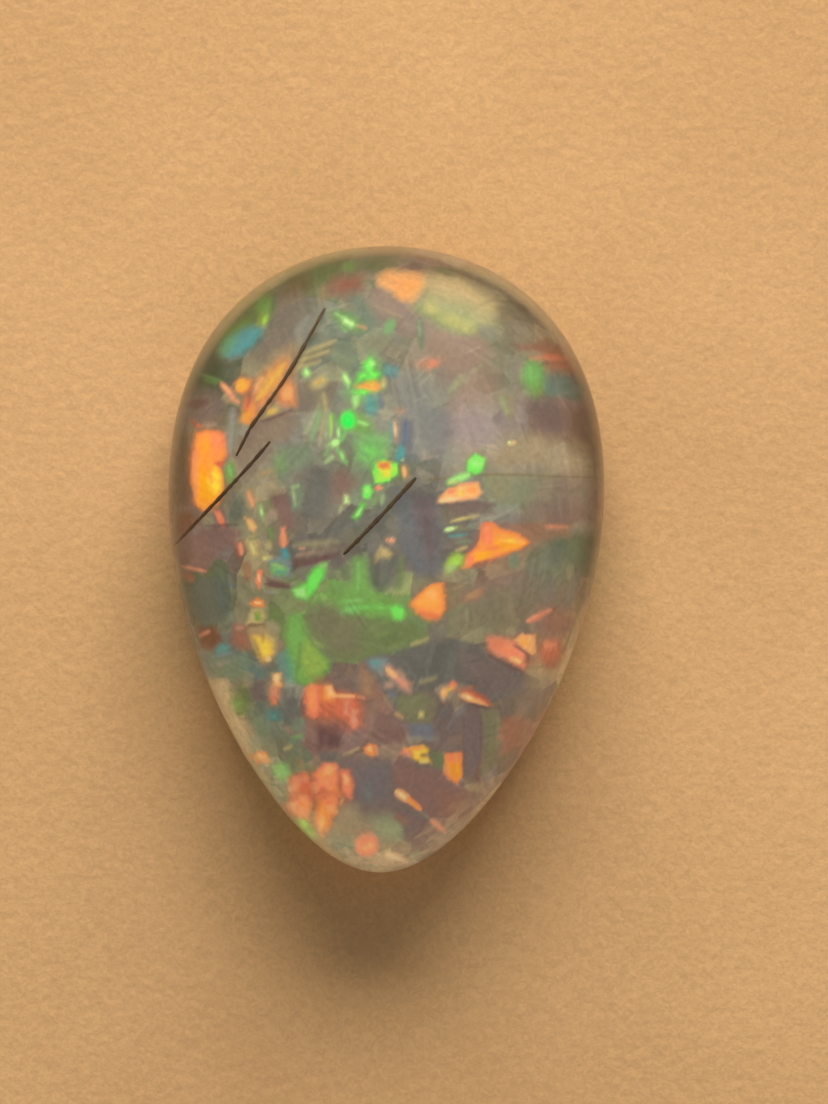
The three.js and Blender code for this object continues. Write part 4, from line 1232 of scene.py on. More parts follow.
def paint_lower_left(p):
    p.patch("slate green", [(-4.1, -0.7), (-3.85, -0.48), (-3.5, -0.4), (-3.25, -0.6), (-3.2, -1.0),
            (-3.35, -1.35), (-3.7, -1.48), (-4.0, -1.3)], 0.05)
    p.patch("russet", [(-3.98, -1.5), (-3.5, -1.5), (-3.35, -1.75), (-3.5, -2.0),
            (-3.85, -1.95)], 0.08, 0.8)
    p.streak("salmon", (-3.85, -1.68), (-3.6, -1.55), 0.07, 0.04, 0.8)
    p.patch("rosewood", [(-3.15, -1.4), (-2.85, -1.4), (-2.76, -1.9), (-2.95, -2.0),
            (-3.2, -1.8)], 0.06, 0.8)
    p.streak("pink", (-3.1, -1.5), (-2.9, -1.48), 0.07, 0.04, 0.7)
    p.streak("brick", (-3.0, -1.62), (-2.95, -1.85), 0.08, 0.04, 0.7)
    p.patch("teal", [(-3.55, -1.95), (-3.35, -1.8), (-3.15, -1.85), (-3.2, -2.05),
            (-3.45, -2.1)], 0.05, 0.8)
    p.streak("blue grey", (-3.6, -2.12), (-3.15, -2.0), 0.05, 0.03, 0.8)
    p.streak("grey", (-3.6, -2.28), (-3.15, -2.18), 0.08, 0.05, 0.7)
    p.patch("orange", [(-2.8, -0.98), (-2.66, -0.86), (-2.5, -0.9), (-2.48, -1.02), (-2.7, -1.05)], 0.035)
    p.streak("pale peach", (-2.72, -0.95), (-2.55, -0.96), 0.05, 0.02, 0.7)
    p.patch("khaki", [(-2.78, -1.08), (-2.5, -1.05), (-2.45, -1.22), (-2.55, -1.42),
            (-2.86, -1.4)], 0.035)
    p.patch("yellow green", [(-2.7, -1.16), (-2.56, -1.14), (-2.54, -1.3), (-2.68, -1.34)], 0.03)
    p.streak("moss", (-2.64, -1.2), (-2.62, -1.32), 0.05, 0.02, 0.6)
    p.streak("russet", (-2.85, -1.43), (-2.45, -1.4), 0.05, 0.03, 0.8)
    body = [(-2.82, -1.5), (-2.5, -1.46), (-2.25, -1.66), (-2.18, -1.9), (-2.28, -2.15), (-2.4, -2.3),
        (-2.6, -2.12), (-2.76, -1.8)]
    p.patch("rosewood", body, 0.06, 0.8)
    p.patch("khaki", [(-2.8, -1.56), (-2.5, -1.5), (-2.24, -1.66), (-2.22, -1.95), (-2.4, -2.24),
            (-2.62, -2.1)], 0.06)
    p.patch("gold", [(-2.76, -1.64), (-2.5, -1.6), (-2.3, -1.78), (-2.28, -2.0), (-2.4, -2.2),
            (-2.6, -2.08)], 0.06, 0.8)
    p.patch("yellow", [(-2.56, -1.76), (-2.4, -1.78), (-2.36, -2.0), (-2.5, -2.05)], 0.07, 0.7)
    p.streak("tan", (-2.75, -1.58), (-2.45, -1.55), 0.1, 0.05, 0.8)
    p.streak("olive brown", (-2.52, -1.6), (-2.5, -1.8), 0.05, 0.04, 0.6)
    p.streak("olive brown", (-2.7, -1.7), (-2.54, -2.08), 0.06, 0.05, 0.6)
    p.spot("pale peach", -2.38, -2.14, 0.12, 0.12, 0, 0.9, 0.6)
    p.patch("khaki grey", [(-2.46, -1.35), (-2.3, -1.32), (-2.15, -1.5), (-2.2, -1.66),
            (-2.4, -1.5)], 0.05, 0.9)
    p.patch("rosewood", [(-2.4, -2.5), (-2.08, -2.4), (-2.05, -2.9), (-2.2, -3.15),
            (-2.4, -3.0)], 0.08, 0.6)
    p.block("peach", -2.2, -2.56, 0.17, 0.26, 0.05)
    p.spot("pale peach", -2.2, -2.52, 0.12, 0.16, 0, 1.0, 0.8)
    p.block("salmon", -2.23, -2.8, 0.17, 0.2, 0.05, 0.9)
    p.block("coral", -2.25, -2.98, 0.12, 0.16, 0.05, 0.7)
    blocks = [("moss grey", -3.02, -2.72, 0.26, 0.24), ("leaf", -3.06, -3.12, 0.3, 0.3),
        ("slate mauve", -2.62, -2.75, 0.34, 0.44), ("slate green", -2.58, -3.2, 0.22, 0.3),
        ("grey green", -2.5, -3.6, 0.32, 0.5), ("teal", -2.26, -3.3, 0.24, 0.2),
        ("slate", -1.95, -3.0, 0.3, 0.6), ("slate green", -2.3, -2.3, 0.3, 0.2),
        ("khaki grey", -2.8, -2.55, 0.2, 0.3), ("grey green", -1.75, -3.5, 0.3, 0.3),
        ("moss grey", -2.0, -3.9, 0.3, 0.3), ("khaki grey", -2.4, -4.5, 0.3, 0.3),
        ("grey green", -2.75, -3.9, 0.3, 0.3), ]
    for colour, x, y, wide, high in blocks:
        p.block(colour, x, y, wide, high, 0.04, 0.6)
    for x in (-2.45, -2.02, -1.86):
        p.streak("slate", (x, -2.7), (x + 0.02, -3.5), 0.05, 0.03, 0.5)
    # Cream along the lower left rim: painted light, the card's colour coming through the clear edge
    p.patch("cream", [(-3.65, -2.5), (-3.3, -2.55), (-3.1, -3.3), (-2.85, -3.45), (-2.7, -4.0),
            (-2.4, -4.6), (-2.9, -4.6), (-3.7, -3.2)], 0.06, 0.8)
    p.patch("pale cream", [(-3.6, -2.6), (-3.3, -2.65), (-3.15, -3.2), (-2.9, -3.5), (-2.75, -4.1),
            (-3.0, -4.2)], 0.1, 0.8)
    p.patch("orange", [(-2.75, -4.15), (-2.58, -4.02), (-2.42, -4.05), (-2.35, -4.25),
            (-2.6, -4.32)], 0.05)
    p.spot("peach", -2.53, -4.14, 0.2, 0.14, 0, 0.9, 0.8)
    p.patch("fern", [(-2.25, -4.3), (-2.05, -4.25), (-1.95, -4.45), (-2.1, -4.6),
            (-2.25, -4.5)], 0.05, 0.7)
    p.streak("pale green", (-2.2, -4.6), (-2.0, -4.35), 0.05, 0.03, 0.6)
    p.streak("grey green", (-1.95, -3.85), (-1.6, -3.68), 0.16, 0.05, 0.9)
    p.streak("leaf", (-1.9, -3.75), (-1.62, -3.68), 0.06, 0.03, 0.7)
    p.streak("khaki", (-2.05, -4.0), (-1.85, -3.9), 0.08, 0.04, 0.7)
    p.streak("brick", (-1.75, -4.15), (-1.65, -4.4), 0.1, 0.05, 0.6)


def paint_lower_middle(p):
    p.patch("brick", [(-1.6, -2.75), (-1.4, -2.5), (-0.9, -2.6), (-0.4, -2.9), (-0.35, -3.5),
            (-0.7, -3.6), (-1.3, -3.5), (-1.6, -3.3)], 0.13, 0.7)
    p.patch("red", [(-1.56, -2.72), (-1.3, -2.7), (-0.95, -2.85), (-0.6, -2.84), (-0.5, -3.0),
            (-0.45, -3.45), (-0.6, -3.55), (-0.72, -3.3), (-1.2, -3.28), (-1.5, -3.22)], 0.1, 0.85)
    p.patch("coral", [(-1.6, -2.72), (-1.48, -2.62), (-1.35, -2.68), (-1.32, -3.15), (-1.42, -3.3),
            (-1.56, -3.2)], 0.08)
    p.streak("orange", (-1.5, -2.7), (-1.46, -3.15), 0.1, 0.05, 0.8)
    p.patch("orange", [(-1.3, -2.68), (-1.1, -2.66), (-1.0, -2.86), (-1.02, -3.0),
            (-1.26, -2.98)], 0.05, 0.9)
    p.patch("brick", [(-1.3, -3.05), (-1.15, -3.0), (-0.9, -3.1), (-0.75, -3.35), (-1.3, -3.3)], 0.1, 0.5)
    p.patch("red", [(-0.98, -2.95), (-0.84, -2.95), (-0.66, -3.3), (-0.72, -3.4),
            (-0.95, -3.2)], 0.08, 0.6)
    p.patch("peach", [(-1.22, -2.66), (-1.08, -2.62), (-0.98, -2.82), (-1.0, -2.92),
            (-1.14, -2.88)], 0.04)
    p.streak("peach", (-1.05, -2.86), (-0.55, -2.86), 0.06, 0.03)
    p.streak("salmon", (-0.55, -2.86), (-0.35, -2.9), 0.05, 0.03, 0.7)
    p.patch("salmon", [(-0.82, -2.95), (-0.7, -2.92), (-0.68, -3.28), (-0.8, -3.26)], 0.04, 0.9)
    p.patch("salmon", [(-0.65, -3.1), (-0.52, -3.12), (-0.48, -3.5), (-0.58, -3.55),
            (-0.66, -3.4)], 0.04, 0.9)
    p.streak("pink", (-0.58, -3.2), (-0.55, -3.45), 0.05, 0.02, 0.6)
    p.streak("red", (-0.9, -2.92), (-0.88, -3.28), 0.08, 0.05, 0.8)
    p.streak("red", (-1.18, -3.0), (-1.16, -3.28), 0.08, 0.05, 0.6)
    p.patch("slate mauve", [(-1.1, -2.5), (-0.7, -2.45), (-0.6, -2.7), (-1.0, -2.75)], 0.06, 0.8)
    p.patch("dark mauve", [(-1.4, -3.5), (-0.95, -3.45), (-0.8, -3.9), (-1.3, -3.95)], 0.1, 0.6)
    p.spot("rose", 0.12, -2.62, 0.2, 0.14, 0, 0.9)
    p.streak("deep blue", (0.12, -2.75), (0.3, -2.86), 0.09, 0.04, 0.5)
    p.patch("moss grey", [(0.35, -2.85), (0.95, -2.78), (1.15, -3.0), (1.0, -3.35), (0.6, -3.4),
            (0.35, -3.15)], 0.07)
    p.patch("leaf", [(0.4, -2.95), (0.8, -2.9), (0.8, -3.1), (0.5, -3.15)], 0.12, 0.15)
    p.block("straw", 0.83, -3.22, 0.1, 0.12, 0.04, 0.9)
    p.streak("tan", (0.25, -3.18), (0.45, -3.3), 0.1, 0.04)
    p.streak("khaki", (0.75, -2.55), (1.15, -2.42), 0.08, 0.05, 0.5)
    p.patch("orange", [(-0.38, -3.92), (-0.28, -3.82), (-0.12, -3.88), (-0.1, -4.08), (-0.2, -4.12),
            (-0.34, -4.02)], 0.04)
    p.spot("peach", -0.25, -3.93, 0.14, 0.1, 0, 0.8, 0.8)
    p.streak("salmon", (-0.12, -3.85), (-0.08, -4.1), 0.05, 0.03, 0.7)
    p.streak("khaki", (-0.45, -3.92), (-0.95, -4.18), 0.06, 0.03, 0.7)
    p.streak("grey green", (-0.8, -4.12), (-1.0, -4.3), 0.08, 0.04, 0.7)
    p.patch("salmon", [(0.36, -4.02), (0.48, -3.92), (0.65, -3.9), (0.62, -4.1)], 0.04)
    p.patch("gold", [(0.58, -3.92), (0.85, -3.86), (0.98, -3.95), (0.92, -4.06), (1.02, -4.22),
            (0.8, -4.24), (0.66, -4.12)], 0.04)
    p.streak("orange", (0.45, -3.96), (0.9, -3.9), 0.07, 0.03, 0.9)
    p.streak("olive brown", (0.8, -4.06), (0.95, -4.06), 0.07)
    p.streak("straw", (0.78, -4.18), (0.98, -4.19), 0.06, 0.03, 0.8)
    p.patch("moss", [(1.0, -3.95), (1.3, -4.0), (1.3, -4.35), (1.05, -4.25)], 0.06, 0.7)
    p.patch("orange", [(1.3, -4.02), (1.65, -3.98), (1.7, -4.35), (1.62, -4.62), (1.5, -4.62),
            (1.3, -4.42)], 0.04)
    p.patch("amber", [(1.42, -4.25), (1.64, -4.2), (1.64, -4.5), (1.54, -4.56)], 0.05, 0.7)
    p.patch("coral", [(1.34, -4.06), (1.62, -4.02), (1.6, -4.15), (1.38, -4.18)], 0.04, 0.8)
    p.streak("tan", (1.33, -4.2), (1.35, -4.42), 0.05, 0.03, 0.8)
    p.patch("peach", [(1.2, -2.78), (1.26, -2.66), (1.36, -2.66), (1.36, -2.8), (1.28, -2.86)], 0.035)
    p.patch("coral", [(1.38, -2.62), (1.46, -2.52), (1.56, -2.58), (1.5, -2.7)], 0.04, 0.9)
    p.streak("gold", (1.34, -2.72), (1.48, -2.62), 0.05, 0.02, 0.8)
    p.patch("red", [(1.6, -2.68), (1.85, -2.64), (2.15, -2.84), (2.3, -3.0), (2.0, -2.98),
            (1.7, -2.82)], 0.05, 0.8)
    p.patch("peach", [(1.6, -2.78), (1.75, -2.72), (2.2, -3.0), (1.98, -2.98), (1.74, -2.9)], 0.035)
    p.streak("pale peach", (1.64, -2.79), (1.85, -2.86), 0.06, 0.02, 0.8)
    p.streak("dark mauve", (1.6, -2.9), (2.2, -3.08), 0.05)
    p.patch("slate mauve", [(1.7, -3.1), (2.05, -3.15), (2.02, -4.4), (1.9, -4.6),
            (1.72, -4.4)], 0.05, 0.9)
    p.patch("slate", [(1.15, -3.0), (1.45, -3.0), (1.42, -3.3), (1.15, -3.3)], 0.05, 0.8)
    p.patch("moss grey", [(2.1, -3.1), (2.45, -3.15), (2.42, -4.2), (2.12, -4.45)], 0.05, 0.9)
    p.streak("leaf", (2.3, -3.15), (2.28, -4.0), 0.06, 0.04, 0.12)
    p.streak("khaki grey", (2.42, -3.2), (2.4, -3.9), 0.05, 0.04, 0.6)
    p.patch("rosewood", [(2.5, -3.3), (2.95, -3.3), (2.95, -3.7), (2.65, -4.05),
            (2.48, -3.95)], 0.1, 0.55)
    p.patch("slate blue", [(0.55, -3.42), (1.0, -3.42), (1.05, -3.68), (0.6, -3.65)], 0.06, 0.9)
    p.streak("grey", (0.5, -3.7), (1.2, -3.72), 0.08, 0.05, 0.5)
    for step in range(4):
        p.streak("slate blue", (1.74 + 0.09 * step, -3.2), (1.75 + 0.09 * step, -4.3), 0.03, 0.02, 0.35)


def paint_tip(p):
    p.patch("slate mauve", [(-0.9, -4.05), (0.2, -4.1), (0.3, -4.6), (0.28, -5.1), (0.0, -5.3),
            (-0.5, -5.3), (-0.85, -5.0)], 0.06, 0.85)
    p.patch("slate blue", [(-0.7, -4.3), (0.1, -4.2), (0.15, -5.0), (-0.5, -5.1)], 0.12, 0.35)
    p.streak("teal grey", (-0.25, -4.6), (-0.24, -5.1), 0.16, 0.08, 0.5)
    p.patch("khaki grey", [(-0.95, -5.0), (-0.45, -5.1), (-0.4, -5.5), (-0.7, -5.9),
            (-1.15, -5.8)], 0.12, 0.7)
    p.patch("khaki grey", [(-0.45, -5.4), (0.0, -5.3), (0.45, -5.4), (0.5, -5.8), (0.1, -5.95),
            (-0.1, -5.8)], 0.14, 0.7)
    p.spot("pale green", 0.2, -5.62, 0.6, 0.36, 0, 1.2, 0.3)
    p.patch("grey green", [(-1.2, -5.85), (-0.5, -5.9), (-0.3, -6.3), (-0.7, -6.25)], 0.12, 0.6)
    p.patch("olive", [(-1.9, -4.2), (-1.3, -4.3), (-1.0, -5.0), (-1.2, -5.8), (-1.6, -5.5),
            (-1.95, -4.8)], 0.12, 0.6)
    p.patch("slate", [(-1.3, -4.02), (-0.9, -4.0), (-0.88, -4.3), (-1.25, -4.32)], 0.05, 0.8)
    p.patch("brick", [(-1.95, -4.58), (-1.5, -4.45), (-0.6, -4.4), (-0.6, -5.0), (-0.85, -5.2),
            (-1.1, -5.75), (-1.35, -5.7), (-1.9, -5.2)], 0.1, 0.75)
    p.patch("red", [(-1.92, -4.58), (-1.58, -4.5), (-1.4, -4.72), (-1.5, -4.95),
            (-1.88, -4.92)], 0.09, 0.85)
    p.streak("salmon", (-1.85, -4.62), (-1.5, -4.6), 0.12, 0.06, 0.7)
    p.patch("coral", [(-1.38, -4.5), (-1.2, -4.3), (-0.94, -4.3), (-0.88, -4.55), (-0.92, -4.8),
            (-1.3, -4.82)], 0.08)
    p.patch("orange", [(-1.3, -4.48), (-1.08, -4.32), (-0.96, -4.5), (-1.2, -4.66)], 0.09, 0.7)
    p.spot("peach", -1.1, -4.42, 0.2, 0.16, 30, 1.2, 0.6)
    p.patch("red", [(-1.6, -4.72), (-0.9, -4.7), (-0.88, -4.95), (-1.0, -5.15), (-1.25, -5.12),
            (-1.5, -4.96)], 0.09, 0.45)
    p.patch("coral", [(-0.82, -4.42), (-0.68, -4.42), (-0.58, -4.75), (-0.62, -4.96),
            (-0.78, -4.85)], 0.07, 0.9)
    p.spot("peach", -0.72, -4.6, 0.12, 0.2, 10, 1.2, 0.6)
    p.streak("brick", (-0.86, -4.5), (-0.83, -4.95), 0.06, 0.04, 0.6)
    p.patch("coral", [(-2.0, -5.2), (-1.82, -4.98), (-1.52, -4.98), (-1.44, -5.2), (-1.54, -5.4),
            (-1.8, -5.38)], 0.09)
    p.spot("orange", -1.62, -5.22, 0.3, 0.26, 0, 1.2, 0.9)
    p.spot("peach", -1.8, -5.14, 0.16, 0.12, 0, 1.2, 0.6)
    p.streak("red", (-1.78, -5.28), (-1.62, -5.06), 0.07, 0.04, 0.5)
    p.patch("orange", [(-1.3, -5.0), (-1.06, -4.92), (-0.94, -5.1), (-1.04, -5.4), (-1.2, -5.78),
            (-1.34, -5.5)], 0.09)
    p.patch("coral", [(-1.24, -4.95), (-1.0, -4.9), (-0.94, -5.1), (-1.1, -5.25)], 0.08, 0.8)
    p.streak("peach", (-1.18, -5.35), (-1.26, -5.68), 0.08, 0.05, 0.7)
    p.streak("moss", (-1.4, -5.1), (-1.41, -5.5), 0.07, 0.05, 0.6)
    rng = np.random.default_rng(21)
    for _ in range(TIP_CHIPS):
        start = rng.uniform((-1.8, -5.3), (-0.8, -4.5))
        colour = rng.choice(("brick", "red", "orange", "peach"))
        p.streak(colour, start, start + rng.uniform(-TIP_CHIP_REACH, TIP_CHIP_REACH, 2), 0.11, 0.08, 0.4)
    p.patch("spring green", [(-1.76, -5.44), (-1.6, -5.42), (-1.44, -5.58), (-1.32, -5.78),
            (-1.4, -5.88), (-1.62, -5.68)], 0.07, 0.85)
    p.spot("lime", -1.6, -5.55, 0.2, 0.14, -45, 0.9, 0.8)
    p.patch("fern", [(-2.22, -4.35), (-1.98, -4.3), (-1.86, -4.5), (-2.0, -4.66),
            (-2.16, -4.6)], 0.08, 0.7)
    p.patch("mauve", [(0.36, -4.1), (0.74, -4.36), (1.18, -4.53), (1.62, -4.78), (2.1, -5.2),
            (1.62, -5.66), (1.07, -5.34), (0.74, -5.12), (0.3, -4.78), (0.22, -4.35)], 0.03, 0.95)
    p.patch("slate mauve", [(0.3, -4.82), (0.74, -5.14), (1.55, -5.68), (1.1, -6.05), (0.7, -6.15),
            (0.5, -5.7), (0.28, -5.3)], 0.05, 0.85)
    p.patch("mauve", [(0.7, -5.4), (1.3, -5.5), (1.2, -6.0), (0.8, -6.1)], 0.12, 0.5)
    p.patch("rosewood", [(1.2, -4.8), (1.8, -5.05), (1.7, -5.4), (1.3, -5.2)], 0.14, 0.35)
    p.streak("rosewood", (0.3, -5.3), (0.62, -5.5), 0.16, 0.06, 0.5)
    p.streak("peach", (0.3, -4.8), (0.6, -5.0), 0.15, 0.06)
    p.streak("orange", (0.5, -4.92), (0.86, -5.2), 0.1, 0.04)
    p.streak("pale peach", (0.38, -4.86), (0.54, -4.97), 0.06, 0.04, 0.8)
    p.streak("salmon", (1.04, -5.38), (1.38, -5.66), 0.1, 0.05, 0.9)
    p.streak("khaki grey", (0.8, -5.2), (1.1, -5.42), 0.04, 0.03, 0.6)
    p.spot("salmon", -0.28, -5.93, 0.42, 0.46, 0, 0.8, 0.8)
    p.patch("coral", [(-0.46, -5.9), (-0.3, -5.8), (-0.14, -5.88), (-0.12, -6.05), (-0.25, -6.16),
            (-0.42, -6.08)], 0.07)
    p.spot("coral", -0.26, -5.95, 0.34, 0.3, 0, 1.4, 0.8)
    p.spot("red", -0.32, -5.92, 0.16, 0.2, 30, 1.2, 0.45)
    p.streak("peach", (-0.36, -6.04), (-0.14, -5.9), 0.1, 0.06, 0.6)
    p.streak("grey", (-1.1, -5.95), (-0.5, -6.2), 0.2, 0.08, 0.5)
    p.patch("rose", [(-0.6, -6.15), (0.0, -6.2), (0.7, -6.05), (0.6, -6.35), (0.0, -6.5),
            (-0.6, -6.4)], 0.1, 0.7)
    p.streak("pale peach", (0.12, -6.12), (0.6, -6.28), 0.14, 0.06, 0.9)
    p.streak("pale green", (0.6, -6.25), (0.85, -6.05), 0.1, 0.05, 0.7)


def paint_hairlines(p):
    """Fine light and dark lines, which lean the same way within a neighbourhood."""
    rng = np.random.default_rng(11)
    for _ in range(HAIRLINE_COUNT):
        place = rng.uniform((-WIDTH / 2, -LENGTH / 2), (WIDTH / 2, LENGTH / 2))
        swing = math.sin(HAIRLINE_WAVE_X * place[0] + HAIRLINE_WAVE_START)
        swing += math.cos(HAIRLINE_WAVE_Y * place[1])
        way = HAIRLINE_LEAN + HAIRLINE_SWING * swing + rng.normal(0, HAIRLINE_STRAY)
        half = rng.uniform(*HAIRLINE_HALF) * np.array([math.cos(way), math.sin(way)])
        gain = rng.choice(HAIRLINE_GAINS)
        p.shade(place - half, place + half, rng.uniform(*HAIRLINE_WIDE), gain)


FIRE_LAYERS = [
    paint_grain,
    paint_domains,
    paint_seam,
    paint_hairlines,
    paint_top_left,
    paint_orange_band,
    paint_khaki_fan,
    paint_left_flash,
    paint_left_middle,
    paint_top,
    paint_green_trail,
    paint_gem,
    paint_upper_right,
    paint_right,
    paint_wedge,
    paint_centre,
    paint_lower_left,
    paint_lower_middle,
    paint_tip,
    paint_stripes,
    paint_rim_shade_and_light,
    paint_gathered_light,
]


def fire_depth(points):
    """Depth of the colour under each point of the surface."""
    x, y, z = points.T
    wave = 1.0
    for turns_x, turns_y, start in FIRE_WAVES:
        wave = wave * np.sin(turns_x * x + turns_y * y + start)
    inner = FIRE_DEPTH + FIRE_RELIEF / 2 * wave
    rim = np.interp(y, (CLEAR_RIM_TO, CLEAR_RIM_FROM), (CLEAR_RIM_DEPTH, RIM_DEPTH))
    return rim + (inner - rim) * np.clip(abs(z - GIRDLE_HEIGHT) / FIRE_RISE, 0, 1)


# Materials, with colours in linear light

# A noise keeps mostly to this part of its range
NOISE_MIDDLE = (0.3, 0.7)

CLEAR_TINT = (0.95, 0.93, 0.88, 1)
CLEAR_ROUGHNESS = (0.02, 0.07)
POLISH_SCALE = 1800

PAINT_GRAIN_SCALE = 9000
PAINT_GRAIN = (0.93, 1.07)
# The painted colour also glows by itself, as painted light for the brightness of the flashes
PAINT_EMISSION = 0.5
PAINT_ROUGHNESS = 0.55
PAINT_SPECULAR = 0.2

NEEDLE_DARK = (0.070, 0.033, 0.008, 1)
NEEDLE_LIGHT = (0.200, 0.102, 0.028, 1)
NEEDLE_GRAIN_SCALE = 2500
NEEDLE_ROUGHNESS = 0.5

CARD_SIZE = 0.8
CARD_DARK = (0.645, 0.365, 0.152, 1)
CARD_LIGHT = (0.73, 0.421, 0.182, 1)
CARD_ROUGHNESS = 0.85
MOTTLE_SCALE = 140
FLECK_SCALE = 6500
FLECK_SHADE = (0.93, 1.07)
TOOTH_SCALE = 4200
TOOTH_STRENGTH = 0.4
TOOTH_HEIGHT = 0.00004


def material(name, **values):
    """A new material, its nodes and its shader, with values on the shader's sockets."""
    made = bpy.data.materials.new(name)
    made.use_nodes = True
    shader = made.node_tree.nodes["Principled BSDF"]
    fill(shader, values)
    return made, made.node_tree, shader


def fill(node, values):
    """Set sockets by name, where _ stands for a space."""
    for socket, value in values.items():
        node.inputs[socket.replace("_", " ")].default_value = value


def add(tree, kind, **values):
    """A new node with values on its sockets."""
    node = tree.nodes.new("ShaderNode" + kind)
    fill(node, values)
    return node


def noise(tree, place=None, **values):
    """Level of a noise, laid out in the object's own coordinates where place is given."""
    texture = add(tree, "TexNoise", **values)
    if place:
        tree.links.new(place.outputs["Object"], texture.inputs["Vector"])
    return texture.outputs["Fac"]


def spread(tree, level, span, low, high):
    """A level that goes from low to high over its span."""
    node = add(tree, "MapRange", From_Min=span[0], From_Max=span[1], To_Min=low, To_Max=high)
    tree.links.new(level, node.inputs["Value"])
    return node.outputs["Result"]


def ramp(tree, level, span, dark, light):
    """A colour that goes from dark to light over the span of a level."""
    node = add(tree, "ValToRGB")
    for stop, position, colour in zip(node.color_ramp.elements, span, (dark, light)):
        stop.position = position
        stop.color = colour
    tree.links.new(level, node.inputs["Fac"])
    return node.outputs["Color"]


def clear_material():
    """Clear stone with a polish that varies a little."""
    made, tree, shader = material("clear_opal", Base_Color=CLEAR_TINT, Transmission_Weight=1.0, IOR=IOR)
    polish = spread(tree, noise(tree, Scale=POLISH_SCALE), (0, 1), *CLEAR_ROUGHNESS)
    tree.links.new(polish, shader.inputs["Roughness"])
    return made


def fire_material():
    """Painted colour with a fine grain, which also glows by itself: painted light for the brightness of
    the flashes.
    """
    made, tree, shader = material("play_of_colour", Emission_Strength=PAINT_EMISSION,
                                  Roughness=PAINT_ROUGHNESS, Specular_IOR_Level=PAINT_SPECULAR)
    paint = add(tree, "VertexColor")
    paint.layer_name = "paint"
    grain = noise(tree, add(tree, "TexCoord"), Scale=PAINT_GRAIN_SCALE)
    mix = add(tree, "Mix", Factor=1.0)
    mix.data_type = "RGBA"
    mix.blend_type = "MULTIPLY"
    tree.links.new(paint.outputs["Color"], mix.inputs["A"])
    tree.links.new(spread(tree, grain, NOISE_MIDDLE, *PAINT_GRAIN), mix.inputs["B"])
    for socket in ("Base Color", "Emission Color"):
        tree.links.new(mix.outputs["Result"], shader.inputs[socket])
    return made


def needle_material():
    """Dark brown, a little uneven."""
    made, tree, shader = material("needle", Roughness=NEEDLE_ROUGHNESS)
    level = noise(tree, Scale=NEEDLE_GRAIN_SCALE)
    tree.links.new(ramp(tree, level, (0, 1), NEEDLE_DARK, NEEDLE_LIGHT), shader.inputs["Base Color"])
    return made


def no_depth(points):
    return np.zeros(len(points))


def build_shell():
    """The clear skin, closed all round."""
    crown, crown_quads, _ = stone_part(SHELL_ROWS, crown_path, no_depth)
    under, under_quads, _ = stone_part(SHELL_ROWS, underside_path, no_depth)
    under_quads = under_quads[:, ::-1] + len(crown)
    quads = np.concatenate([crown_quads, under_quads])
    piece = mesh_object("opal_body", np.concatenate([crown, under]), quads)
    weld(piece)
    piece.data.materials.append(clear_material())
    return piece


def weld(piece):
    """Join the crown and the underside along the girdle."""
    shape = bmesh.new()
    shape.from_mesh(piece.data)
    bmesh.ops.remove_doubles(shape, verts=shape.verts, dist=WELD_DISTANCE)
    shape.to_mesh(piece.data)
    shape.free()


def fire_piece(name, points, quads, seen):
    """A painted part of the colour in the stone."""
    piece = mesh_object(name, points, quads)
    painter = Painter(points, seen)
    for layer in FIRE_LAYERS:
        layer(painter)
    rgba = np.concatenate([painter.rgb, np.ones((len(points), 1))], axis=1)
    paint = piece.data.color_attributes.new("paint", "FLOAT_COLOR", "POINT")
    paint.data.foreach_set("color", rgba.astype(np.float32).ravel())
    return piece


def build_fire():
    """The colour in the stone: two halves of the crown and the underside."""
    under, under_quads, under_seen = stone_part(UNDERSIDE_ROWS, underside_path, fire_depth)
    pieces = [
        fire_piece("opal_fire_west", *stone_part(CROWN_ROWS, crown_path, fire_depth, (0.0, 0.5))),
        fire_piece("opal_fire_east", *stone_part(CROWN_ROWS, crown_path, fire_depth, (0.5, 1.0))),
        fire_piece("opal_fire_under", under, under_quads[:, ::-1], under_seen),
    ]
    painted = fire_material()
    for piece in pieces:
        piece.data.materials.append(painted)
    return pieces


# Dark needles just under the crown, each as the places it passes in the view from above
NEEDLES = [
    [(-1.36, 5.2), (-1.92, 4.14), (-2.21, 3.64), (-2.69, 2.94), (-2.87, 2.68), (-3.15, 2.09)],
    [(-2.45, 2.4), (-2.77, 2.01), (-3.46, 1.23), (-4.1, 0.53), (-4.39, 0.2)],
    [(0.61, 1.71), (0.0, 1.01), (-0.58, 0.38), (-0.87, 0.08)],
]
NEEDLE_DEPTH = 0.06
NEEDLE_RADIUS = 0.04
NEEDLE_SIDES = 6
NEEDLE_STEPS = 36
# How uneven a needle is, and how much thinner its ends are, where a high power keeps the taper
NEEDLE_UNEVEN = 0.24
NEEDLE_TAPER = 0.4
TAPER_POWER = 12


def needle_point(x, y):
    """Point under the crown that the camera sees at a place."""
    nearer = DISTANCE / (DISTANCE - (crown_height(x, y) - GIRDLE_HEIGHT))
    x, y = np.array(AIM) + (np.array((x, y)) - AIM) / nearer
    rise_x = (crown_height(x + SLOPE_STEP, y) - crown_height(x - SLOPE_STEP, y)) / (2 * SLOPE_STEP)
    rise_y = (crown_height(x, y + SLOPE_STEP) - crown_height(x, y - SLOPE_STEP)) / (2 * SLOPE_STEP)
    inward = np.array((rise_x, rise_y, -1.0))
    return np.array((x, y, crown_height(x, y))) + NEEDLE_DEPTH * inward / np.linalg.norm(inward)


def needle_path(needle):
    """Points at even steps along a needle."""
    places = np.array(needle)
    run = np.concatenate([[0], np.cumsum(np.hypot(*np.diff(places, axis=0).T))])
    steps = np.linspace(0, run[-1], NEEDLE_STEPS)
    xs, ys = (np.interp(steps, run, line) for line in places.T)
    return np.array([needle_point(x, y) for x, y in zip(xs, ys)])


